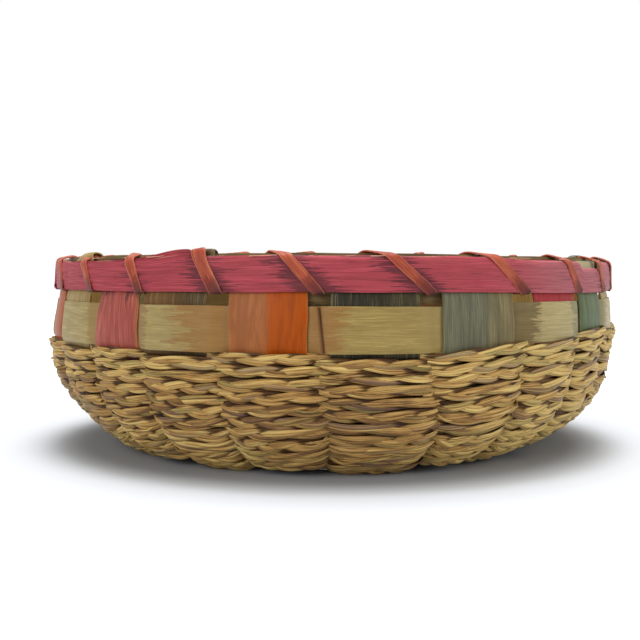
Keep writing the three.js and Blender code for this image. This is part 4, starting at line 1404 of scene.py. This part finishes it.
def weave_base(bowl, number):
    """Flat weaver of the base, one turn over and under the long splints"""
    sizes = bowl.sizes
    turn = np.linspace(0, FULL_TURN, UPRIGHTS * BASE_STEPS + 1)
    angle = bowl.gaps[2 * number] + turn[:-1]
    side, place, _ = bowl.weave(angle, number)
    apart = (sizes.upright_thickness + sizes.base_thickness) / 2 + WEAVER_GAP
    offset = side * (1 - np.abs(place) ** 8) * apart
    radius = bowl.foot_radius + (FOOT_WEAVER - number) * sizes.base_pitch
    wavering = BASE_WAVER * ripple(50 + number, 12, angle)[:, None]
    half_width = sizes.foot_width / 2 + BASE_OVERWIDTH + wavering
    sections, breadth = flat_weaver(
        bowl, angle[:, None], bowl.at_radius(radius), half_width, offset, sizes.base_thickness / 2,
        BASE_COLUMNS)
    piece = PieceMesh()
    piece.loft(sections, True, turn * radius, breadth * sizes.foot_width / 2, number / 5 + 0.1)
    return piece


def weave_band(bowl):
    """Broad weaver: one turn and a lap over its own start. With it come the number of the upright whose
    dye creeps in at each stop, and how strongly"""
    sizes = bowl.sizes
    first, last = BAND_LAP_UPRIGHTS
    start = bowl.angles[first] + BAND_START_SHARE * bowl.half_angles[first]
    edge = bowl.angles[last] + bowl.half_angles[last]
    lap = edge + BAND_END_SHARE * 2 * (bowl.gaps[last] - edge)
    end = FULL_TURN + lap
    angle = np.linspace(start, end, BAND_STEPS * UPRIGHTS)
    side, place, index = bowl.weave(angle, 1)
    passing = side * (1 - np.abs(place) ** 9)
    offset = passing * ((sizes.upright_thickness + sizes.band_thickness) / 2 + WEAVER_GAP)
    under = smooth(angle, lap + BAND_LAYER_TURN, lap)
    over = smooth(angle, start + FULL_TURN - BAND_LAYER_TURN, start + FULL_TURN)
    offset = offset - under * BAND_LAYER * (1 - passing) + over * BAND_LAYER * (1 + passing)
    climb = np.minimum(BAND_CLIMB_SHARE * bowl.climb(angle), BAND_CLIMB_LIMIT_SHARE * sizes.band_width)
    middle = bowl.at_level((bowl.band_top + bowl.band_bottom) / 2 + climb)[:, None]
    narrowing = BAND_NARROWING * smooth(angle, end - BAND_NARROWING_TURN, end)
    half_width = sizes.band_width / 2 - narrowing + BAND_WAVER * ripple(77, 9, angle)
    slant = BAND_SLANT * smooth(angle, end - BAND_SLANT_TURN, end)
    sections, breadth = flat_weaver(
        bowl, angle[:, None], middle, half_width[:, None], offset, sizes.band_thickness / 2, BAND_COLUMNS,
        slant[:, None])
    shares = np.array(CREEP_SHARES)[index // 2 % LONG_SPLINTS]
    reach = np.maximum(1 - (1 + place) / (2 * shares[:, 0]), 1 - (1 - place) / (2 * shares[:, 1]))
    reach = np.where(side > 0, reach, 1.0)[:, None] + 0.12 * breadth[:-1]
    marks = np.zeros(sections.shape)
    marks[:, :, 0] = np.clip(reach, -1, 1)
    marks[:, :, 1] = ramp(angle, end, BAND_LINE_OFFSETS)[:, None]
    marks[:, :, 2] = bowl.bleaching(angle)[:, None]
    piece = PieceMesh()
    piece.loft(sections, False, angle * sizes.wall_radius, breadth * sizes.band_width / 2, 0.37, marks)
    outside = side > 0
    beside = np.where(place < 0, index - 1, index + 1)
    covering = np.where(outside, beside, index) % UPRIGHTS
    stretch = np.where(outside, index, beside) % UPRIGHTS
    strengths = np.array(CREEP_STRENGTH_SHARES)[stretch // 2]
    strengths = np.where(outside == (place < 0), strengths[:, 0], strengths[:, 1])
    return piece, covering, strengths


def wrap_angles(bowl, wrap):
    """Where a wrap of the lashing crosses the top, and where it goes in under the hoops"""
    bottom = bowl.gaps[wrap % UPRIGHTS] + FULL_TURN * (wrap // UPRIGHTS)
    return bottom - LEAN_SHARES[wrap % LONG_SPLINTS] * EVEN_SPACING, bottom


def thin_ends(angle, start, end, offsets):
    """How far the first and the last end of a hoop is thinned where they lie on each other, from a start
    angle to an end angle"""
    first = ramp(angle, end, offsets)
    last = smooth(angle, start + FULL_TURN - offsets[0], start + FULL_TURN - offsets[1])
    return first, last


def hoop_faces(inside, outside, inner_thinned, outer_thinned):
    """Radii of a hoop's inner and outer face, each drawn back past the middle where it is thinned"""
    middle = (inside + outside) / 2
    inner_face = inside + inner_thinned * (middle + HOOP_LAP_GAP - inside)
    outer_face = outside - outer_thinned * (outside - middle + HOOP_LAP_GAP)
    return inner_face, outer_face


def stain_reach(bowl, angle, levels):
    """How far stain has spread at each place of the red hoop, from the wraps that cross it"""
    reach = np.full((len(angle), len(levels)), -1.0)
    for wrap in range(-1, UPRIGHTS + 4):
        high, low = wrap_angles(bowl, wrap)
        line = low + (high - low) * levels
        away = (angle[:, None] - line) * bowl.sizes.hoop_radius
        near = STAIN_SHARES[wrap % UPRIGHTS] * np.exp(-(away / STAIN_REACH) ** 2)
        near = near * (STAIN_FOOT_SHARE - STAIN_TOP_LOSS_SHARE * levels)
        reach = np.maximum(reach, near - STAIN_LOSS_SHARE)
    return reach


def bend_outer_hoop(bowl):
    """Red lath hoop with rough fibres, a torn upper edge and its lap left of the front"""
    sizes = bowl.sizes
    lap_start, lap_end = bowl.lap_start, bowl.lap_end
    angle = np.linspace(lap_start, lap_end + FULL_TURN, HOOP_STEPS)
    first = smooth(angle, lap_end + HOOP_ENDING, lap_start)
    last = smooth(angle, lap_start + FULL_TURN + LAP_RISE_START, lap_end + FULL_TURN)
    outside = sizes.hoop_radius
    inside = outside - sizes.outer_hoop_thickness
    first_thinned, last_thinned = thin_ends(angle, lap_start, lap_end, HOOP_THINNING_OFFSETS)
    inner_face, outer_face = hoop_faces(inside, outside, first_thinned, last_thinned)
    torn_middle, span, depth = TORN_STRETCH
    torn = depth * smooth(np.abs(from_front(angle) - torn_middle), span, TORN_FULL_SHARE * span)
    top = sizes.rim_level + HOOP_WAVER * ripple(5, 40, angle) - HOOP_START_FALL * first
    top = top - bowl.worn(angle) - torn + LAP_RISE * last
    top = top - HOOP_END_FALL * smooth(angle, lap_end + FULL_TURN - HOOP_ENDING, lap_end + FULL_TURN)
    bottom = bowl.hoop_bottom + HOOP_WAVER * ripple(6, 18, angle) - HOOP_FADED_FALL * bowl.fading(angle)
    share = np.linspace(0, 1, HOOP_ROWS)
    random = np.random.default_rng(12)
    relief = np.zeros((len(angle), HOOP_ROWS))
    for row in range(HOOP_ROWS):
        relief[:, row] = HOOP_RELIEF * ripple(200 + row, 26, angle) + HOOP_ROW_RELIEF * random.normal()
    round_over = HOOP_TOP_ROUNDING * share ** 12 + HOOP_FOOT_ROUNDING * (1 - share) ** 12
    level = bottom[:, None] + (top - bottom)[:, None] * share
    front = bowl.turn(angle[:, None], outer_face[:, None] + relief - round_over, level)
    back_relief, back_rounding = HOOP_BACK_SHARES
    inner_face = inner_face[:, None] + back_relief * relief + back_rounding * round_over
    back = bowl.turn(angle[:, None], inner_face, level)
    sections = np.concatenate([front, back[:, ::-1]], axis=1)
    levels = np.concatenate([share, share[::-1]])
    pale = PALE_SHARE + PALE_WAVER_SHARE * ripple(31, 24, angle)[:, None]
    marks = np.zeros(sections.shape)
    marks[:, :, 0] = stain_reach(bowl, angle, levels)
    marks[:, :, 1] = bowl.fading(angle)[:, None]
    marks[:, :, 2] = np.clip(smooth(levels, *PALE_EDGE_SHARES) * pale, 0, 1)
    breadth = np.concatenate([share, share[::-1] + 1, [0.0]]) * sizes.outer_hoop_height
    piece = PieceMesh()
    piece.loft(sections, False, angle * sizes.hoop_radius, breadth, 0.53, marks)
    add_slivers(bowl, piece)
    return piece


def add_slivers(bowl, piece):
    """Thin slivers lifted off the torn upper edge of the red hoop"""
    sizes = bowl.sizes
    random = np.random.default_rng(44)
    share = np.linspace(0, 1, SLIVER_STEPS)
    around = np.linspace(0, FULL_TURN, SLIVER_SIDES + 1)
    for _ in range(SLIVERS):
        start = random.uniform(0, FULL_TURN)
        angle = start + random.uniform(*SLIVER_LENGTHS) / sizes.hoop_radius * share
        lift = random.uniform(*SLIVER_LIFTS)
        body = random.uniform(*SLIVER_RADII) * np.sqrt(np.clip(1 - share, 0.02, 1))
        radius = sizes.hoop_radius - random.uniform(*SLIVER_INSETS) + SLIVER_LEAN * share
        level = sizes.rim_level - SLIVER_SINK + lift * share ** 2
        sections = bowl.turn(
            angle[:, None], radius[:, None] + body[:, None] * np.cos(around[:-1]),
            level[:, None] + body[:, None] * np.sin(around[:-1]))
        marks = np.zeros(sections.shape)
        marks[:, :, 0] = -1
        marks[:, :, 2] = 1
        breadth = np.arange(SLIVER_SIDES + 1) * SLIVER_GRAIN
        piece.loft(sections, False, angle * sizes.hoop_radius, breadth, random.uniform(0, 1), marks)


def bend_inner_hoop(bowl):
    """Plain lath hoop inside the uprights"""
    sizes = bowl.sizes
    outside = bowl.splints_inside - sizes.seat
    inside = outside - sizes.inner_hoop_thickness
    start = bowl.gaps[PLAIN_START_GAP]
    end = start + PLAIN_LAP
    angle = np.linspace(start, end + FULL_TURN, PLAIN_STEPS)
    first_thinned, last_thinned = thin_ends(angle, start, end, PLAIN_THINNING_OFFSETS)
    inner_face, outer_face = hoop_faces(inside, outside, last_thinned, first_thinned)
    wider_middle, span, depth = WIDER_STRETCH
    wider = depth * smooth(np.abs(from_front(angle) - wider_middle), span, WIDER_FULL_SHARE * span)
    top = bowl.inner_top + PLAIN_RISE + PLAIN_TOP_WAVER * ripple(15, 30, angle)
    bottom = bowl.inner_bottom + PLAIN_FOOT_WAVER * ripple(16, 18, angle) - wider
    share = np.linspace(0, 1, PLAIN_ROWS)
    relief = PLAIN_RELIEF * np.stack([ripple(300 + row, 24, angle) for row in range(PLAIN_ROWS)], axis=1)
    round_over = PLAIN_ROUNDING * np.abs(2 * share - 1) ** 8
    level = bottom[:, None] + (top - bottom)[:, None] * share
    front = bowl.turn(angle[:, None], outer_face[:, None] + relief - round_over, level)
    back = bowl.turn(angle[:, None], inner_face[:, None] + relief + round_over, level)
    sections = np.concatenate([front, back[:, ::-1]], axis=1)
    breadth = np.concatenate([share, share[::-1] + 1, [0.0]]) * sizes.inner_hoop_height
    piece = PieceMesh()
    piece.loft(sections, False, angle * outside, breadth, 0.21)
    return piece


def wrap_path(corners):
    """Way round the hoops through four rounded corners, as radius, level and outward direction, from
    inside over the top and down outside to the way back in"""
    radius, level, facing = [], [], []
    for (at_radius, at_level), start, turn_in, turn_up, rounding in corners:
        center_radius = at_radius + turn_in * rounding
        center_level = at_level + turn_up * rounding
        for step in np.linspace(0, 1, 6):
            direction = start - step * math.pi / 2
            radius.append(center_radius + rounding * math.cos(direction))
            level.append(center_level + rounding * math.sin(direction))
            facing.append(direction)
    return np.array(radius), np.array(level), np.array(facing)


def finer(values):
    """The values with two more between each pair"""
    places = np.linspace(0, len(values) - 1, 3 * len(values) - 2)
    return np.interp(places, np.arange(len(values)), values)


def route_lashing(bowl, half):
    """Way of the lashing's middle round the whole rim: points, outward directions, how near the foot of
    a wrap each one is, and shares of the strip's width"""
    sizes = bowl.sizes
    outer = sizes.hoop_radius - LASH_SIDE_GAP + half
    inner = bowl.splints_inside - sizes.seat - sizes.inner_hoop_thickness - LASH_INNER_GAP - half
    high = bowl.inner_top + LASH_INNER_TOP_GAP + half
    outer_high = sizes.rim_level + LASH_OUTER_TOP_GAP + half
    low = min(bowl.hoop_bottom, bowl.inner_bottom) - LASH_SIDE_GAP - half
    tall = high - low
    radius, level, facing = wrap_path((
        ((inner, high), math.pi, 1, -1, 2 * LASH_CORNER),
        ((outer, outer_high), math.pi / 2, -1, -1, 2.5 * LASH_CORNER),
        ((outer, low), 0.0, -1, 1, LASH_CORNER),
        ((inner, low), -math.pi / 2, 1, 1, LASH_CORNER),
    ))
    radius, level, way = (finer(values) for values in (radius, level, np.unwrap(facing)))
    across_top = np.clip((radius - inner) / (outer - inner), 0, 1) * (way > math.pi / 4)
    on_hoop = smooth(radius, inner, outer) * smooth(level, outer_high - LASH_WORN_DEPTH, outer_high)
    outwards = smooth(radius, (inner + outer) / 2, outer - LASH_CORNER)
    on_lap = smooth(level, outer_high - LASH_LIFTED_DEPTH, outer_high)
    on_lap = on_lap * (LASH_LIFTED_SHARE + (1 - LASH_LIFTED_SHARE) * outwards)
    strides = np.concatenate([[0.0], np.cumsum(np.hypot(np.diff(radius), np.diff(level)))])
    lean = np.clip(strides / strides[np.argmax(way < -math.pi / 4)], 0, 1)
    extra = np.linspace(0, 1, 8)[1:-1]
    rising_level = low + LASH_CORNER + extra * (tall - 2 * LASH_CORNER)
    points, ways, foots, widths = [], [], [], []
    for wrap in range(UPRIGHTS):
        top_angle, bottom_angle = wrap_angles(bowl, wrap)
        next_top, next_bottom = wrap_angles(bowl, wrap + 1)
        next_top = next_bottom - (next_bottom - next_top) / LASH_LEAN_SHARE
        angle = bottom_angle - (bottom_angle - top_angle) / LASH_LEAN_SHARE * (1 - lean)
        lifted = LASH_ARCH * np.sin(math.pi * across_top) - bowl.worn(angle) * on_hoop
        points.append(bowl.turn(angle, radius, level + lifted + bowl.raised(angle) * on_lap))
        flat = np.cos(way)
        ways.append(np.stack([np.sin(angle) * flat, -np.cos(angle) * flat, np.sin(way)], axis=-1))
        foots.append(np.where(way < math.pi / 2, (high - level) / tall, 0.0))
        rise_angle = bottom_angle + (next_top - bottom_angle) * extra
        points.append(bowl.turn(rise_angle, np.full_like(extra, inner), rising_level))
        ways.append(np.stack([-np.sin(rise_angle), np.cos(rise_angle), np.zeros_like(extra)], axis=-1))
        foots.append(np.full_like(extra, 0.2))
        width, next_width = (WRAP_WIDTH_SHARES[number % LONG_SPLINTS] for number in (wrap, wrap + 1))
        widths.append(np.full(len(radius), width))
        widths.append(np.linspace(width, next_width, len(extra)))
    return tuple(np.concatenate(parts) for parts in (points, ways, foots, widths))


def lash_rim(bowl):
    """The lashing: one unbroken strip with a wrap in every gap, leaning over the outer hoop"""
    sizes = bowl.sizes
    half = sizes.lashing_thickness / 2
    path, outward, foot, width_shares = route_lashing(bowl, half)
    for _ in range(LASH_SMOOTHINGS):
        for values in (path, outward):
            values[1:-1] = (values[:-2] + 2 * values[1:-1] + values[2:]) / 4
    tangent = np.gradient(path, axis=0)
    tangent /= np.linalg.norm(tangent, axis=1, keepdims=True)
    sideways = np.cross(tangent, outward)
    sideways /= np.linalg.norm(sideways, axis=1, keepdims=True)
    outward = np.cross(sideways, tangent)
    steps = np.linalg.norm(np.diff(path, axis=0), axis=1)
    along = np.concatenate([[0.0], np.cumsum(steps)])
    across = np.linspace(-1, 1, LASH_COLUMNS)
    wavering = 1 + LASH_WAVER_SHARE * ripple(8, 60, along * LASH_WAVER_RATE)
    width = sizes.lashing_width / 2 * width_shares * wavering
    crown = LASH_CROWN * (1 - across ** 2) - LASH_CREASE * np.exp(-(across / LASH_CREASE_SHARE) ** 2)
    thin = half * (1 - STRIP_EDGE_SHARE * across ** 8)
    rows = []
    for face, order in ((1, slice(None)), (-1, slice(None, None, -1))):
        depth = (crown * (face > 0) + face * thin)[order]
        aside = sideways[:, None, :] * (width[:, None] * across[order])[:, :, None]
        rows.append(path[:, None, :] + aside + outward[:, None, :] * depth[None, :, None])
    sections = np.concatenate(rows, axis=1)
    marks = np.zeros(sections.shape)
    marks[:, :, 0] = foot[:, None]
    marks[:, :, 1] = np.concatenate([across, across[::-1]])
    breadth = np.concatenate([across, across[::-1], across[:1]]) * sizes.lashing_width / 2
    piece = PieceMesh()
    piece.loft(sections, False, along, breadth, 0.8, marks)
    return piece


class BOWL_OT_bend_splints(bpy.types.Operator):
    """Bend the long splints that cross the base and stand up as the uprights"""
    bl_idname = "bowl.bend_splints"
    bl_label = "Bend long splints"

    def execute(self, context):
        bowl = Bowl(context.scene.bowl_sizes)
        finishes = Finishes(context.scene.bowl_colors)
        for number, dye in enumerate(SPLINT_DYES):
            label = f"{number + 1:02d}"
            bend_splint(bowl, number).finish(
                "dyed_splint_" + label, finishes.get("ash_" + dye), "ash_" + dye, "long_splint_" + label)
        return {"FINISHED"}


class BOWL_OT_weave_base(bpy.types.Operator):
    """Weave the flat weavers of the base"""
    bl_idname = "bowl.weave_base"
    bl_label = "Weave base"

    def execute(self, context):
        bowl = Bowl(context.scene.bowl_sizes)
        finishes = Finishes(context.scene.bowl_colors)
        nodes = sorted(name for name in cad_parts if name.startswith("base_weaver_"))
        for number, node in enumerate(nodes):
            weave_base(bowl, number).finish(
                f"base_strip_{number + 1}", finishes.get("ash_base"), "ash_base", node)
        return {"FINISHED"}


class BOWL_OT_weave_sweetgrass(bpy.types.Operator):
    """Weave the braided sweetgrass rows of the lower wall"""
    bl_idname = "bowl.weave_sweetgrass"
    bl_label = "Weave sweetgrass"

    def execute(self, context):
        bowl = Bowl(context.scene.bowl_sizes)
        finishes = Finishes(context.scene.bowl_colors)
        material = finishes.get("sweetgrass")
        for row in range(bowl.sizes.rows):
            label = f"{row + 1:02d}"
            weave_row(bowl, row).finish(
                "sweetgrass_braid_" + label, material, "sweetgrass", "sweetgrass_row_" + label)
        return {"FINISHED"}


class BOWL_OT_weave_band(bpy.types.Operator):
    """Weave the broad splint under the rim"""
    bl_idname = "bowl.weave_band"
    bl_label = "Weave broad splint"

    def execute(self, context):
        bowl = Bowl(context.scene.bowl_sizes)
        colors = context.scene.bowl_colors
        piece_mesh, neighbors, strengths = weave_band(bowl)
        material = Finishes(colors).get("ash_band")
        piece = piece_mesh.finish("broad_weaver", material, "ash_band", "band_weaver")
        names = [SPLINT_DYES[number % LONG_SPLINTS] for number in neighbors]
        dyes = np.array([(*CREPT_DYES.get(name, getattr(colors, name)), 1.0) for name in names])
        plain = np.array((*colors.band, 1.0))
        dyes = np.clip(plain + (dyes - plain) * strengths[:, None], 0.01, 1.0)
        sides = len(piece.data.vertices) // len(neighbors)
        attribute = piece.data.attributes.new("creeping_dye", "FLOAT_COLOR", "POINT")
        attribute.data.foreach_set("color", np.repeat(dyes, sides, axis=0).astype(np.float32).ravel())
        return {"FINISHED"}


class BOWL_OT_bend_hoops(bpy.types.Operator):
    """Bend the two hoops of the rim"""
    bl_idname = "bowl.bend_hoops"
    bl_label = "Bend hoops"

    def execute(self, context):
        bowl = Bowl(context.scene.bowl_sizes)
        finishes = Finishes(context.scene.bowl_colors)
        bend_outer_hoop(bowl).finish("red_hoop", finishes.get("hoop_red"), "hoop_red", "outer_hoop")
        bend_inner_hoop(bowl).finish("plain_hoop", finishes.get("hoop_inner"), "hoop_inner", "inner_hoop")
        return {"FINISHED"}


class BOWL_OT_lash_rim(bpy.types.Operator):
    """Lash the hoops together with the narrow strip"""
    bl_idname = "bowl.lash_rim"
    bl_label = "Lash rim"

    def execute(self, context):
        bowl = Bowl(context.scene.bowl_sizes)
        finishes = Finishes(context.scene.bowl_colors)
        lash_rim(bowl).finish("lashing_strip", finishes.get("lashing"), "lashing", "rim_lashing")
        return {"FINISHED"}


def seen_directly(tree):
    """1 for the rays by which the camera sees a surface, also in a mirror or through glass, else 0"""
    rays = tree.nodes.new("ShaderNodeLightPath")
    seen = calc(tree, "MAXIMUM", rays.outputs["Is Camera Ray"], rays.outputs["Is Glossy Ray"])
    return calc(tree, "MAXIMUM", seen, rays.outputs["Is Transmission Ray"])


def studio_floor():
    """Pale floor: white where nothing shades it, and grey in the bowl's shadow"""
    material = bpy.data.materials.new("studio_floor")
    material.use_nodes = True
    tree = material.node_tree
    shader = tree.nodes["Principled BSDF"]
    shader.inputs["Roughness"].default_value = 0.9
    shader.inputs["Specular IOR Level"].default_value = 0.0
    shader.inputs["Emission Color"].default_value = (1.0, 1.0, 1.0, 1.0)
    seen = seen_directly(tree)
    place = add_node(tree, "ShaderNodeNewGeometry").outputs["Position"]
    stretched = add_node(tree, "ShaderNodeVectorMath", {"operation": "MULTIPLY"})
    tree.links.new(place, stretched.inputs[0])
    stretched.inputs[1].default_value = SHADOW_STRETCH_SHARES
    distance = add_node(tree, "ShaderNodeVectorMath", {"operation": "DISTANCE"})
    tree.links.new(stretched.outputs[0], distance.inputs[0])
    distance.inputs[1].default_value = SHADOW_MIDDLE
    away = distance.outputs["Value"]
    color = mix_colors(tree, ease(tree, away, *OPEN_FLOOR_REACHES), SHADED_FLOOR, OPEN_FLOOR)
    tree.links.new(color, shader.inputs["Base Color"])
    near = times(tree, ease(tree, away, *NEAR_GLOW_REACHES), NEAR_GLOW_SHARE)
    far = times(tree, ease(tree, away, *FAR_GLOW_REACHES), 1 - NEAR_GLOW_SHARE)
    tree.links.new(times(tree, seen, plus(tree, near, far)), shader.inputs["Emission Strength"])
    return material


class BOWL_OT_set_stage(bpy.types.Operator):
    """Set the floor, the lamps, the pale surroundings and the camera"""
    bl_idname = "bowl.set_stage"
    bl_label = "Set stage"

    def execute(self, context):
        self.lay_floor(context)
        self.hang_lamps(context)
        self.light_world(context)
        self.place_camera(context)
        return {"FINISHED"}

    def lay_floor(self, context):
        half = FLOOR_HALF
        mesh = bpy.data.meshes.new("studio_floor")
        corners = [(-half, -half, 0), (half, -half, 0), (half, half, 0), (-half, half, 0)]
        mesh.from_pydata(corners, [], [(0, 1, 2, 3)])
        mesh.materials.append(studio_floor())
        floor = bpy.data.objects.new("studio_floor", mesh)
        context.scene.collection.objects.link(floor)

    def hang_lamps(self, context):
        middle = Vector((0, 0, RIM_LEVEL / 2))
        for name, place, size, power in LAMPS:
            light = bpy.data.lights.new(name, "AREA")
            light.shape = "DISK"
            light.size = size
            light.energy = power
            lamp = bpy.data.objects.new(name, light)
            lamp.location = place
            lamp.rotation_euler = (middle - Vector(place)).to_track_quat("-Z", "Y").to_euler()
            context.scene.collection.objects.link(lamp)

    def light_world(self, context):
        world = bpy.data.worlds.new("pale_studio")
        world.use_nodes = True
        tree = world.node_tree
        strength = plus(tree, times(tree, seen_directly(tree), 1 - SKY_SHARE), SKY_SHARE)
        background = tree.nodes["Background"]
        background.inputs["Color"].default_value = (1.0, 1.0, 1.0, 1.0)
        tree.links.new(strength, background.inputs["Strength"])
        context.scene.world = world

    def place_camera(self, context):
        data = bpy.data.cameras.new("camera")
        data.sensor_width = SENSOR_WIDTH
        data.lens = SENSOR_WIDTH * FOCAL_PIXELS / PICTURE_PIXELS
        camera = bpy.data.objects.new("camera", data)
        place = Matrix.Translation((0, -CAMERA_DISTANCE, CAMERA_LEVEL))
        aim = Matrix.Rotation(LOOK_ASIDE, 4, "Z") @ Matrix.Rotation(math.pi / 2 - LOOK_DOWN, 4, "X")
        camera.matrix_world = place @ aim @ Matrix.Rotation(ROLL, 4, "Z")
        context.scene.collection.objects.link(camera)
        context.scene.camera = camera
        context.scene.view_settings.view_transform = "Standard"


OPERATORS = (
    BOWL_OT_bend_splints, BOWL_OT_weave_base, BOWL_OT_weave_sweetgrass, BOWL_OT_weave_band,
    BOWL_OT_bend_hoops, BOWL_OT_lash_rim, BOWL_OT_set_stage,
)


class BOWL_PT_panel(bpy.types.Panel):
    """Sizes, colours and steps of the bowl"""
    bl_idname = "BOWL_PT_panel"
    bl_label = "Woven bowl"
    bl_space_type = "VIEW_3D"
    bl_region_type = "UI"
    bl_category = "Bowl"

    def draw(self, context):
        for operator in OPERATORS:
            self.layout.operator(operator.bl_idname)
        for group in (context.scene.bowl_sizes, context.scene.bowl_colors):
            for name in group.__annotations__:
                self.layout.prop(group, name)


CLASSES = (BowlSizes, BowlColors, *OPERATORS, BOWL_PT_panel)


def register():
    for item in CLASSES:
        bpy.utils.register_class(item)
    bpy.types.Scene.bowl_sizes = PointerProperty(type=BowlSizes)
    bpy.types.Scene.bowl_colors = PointerProperty(type=BowlColors)


def unregister():
    del bpy.types.Scene.bowl_colors
    del bpy.types.Scene.bowl_sizes
    for item in reversed(CLASSES):
        bpy.utils.unregister_class(item)


def main():
    register()
    bpy.ops.bowl.set_stage()
    bpy.ops.bowl.bend_splints()
    bpy.ops.bowl.weave_base()
    bpy.ops.bowl.weave_sweetgrass()
    bpy.ops.bowl.weave_band()
    bpy.ops.bowl.bend_hoops()
    bpy.ops.bowl.lash_rim()


if __name__ == "__main__":
    main()
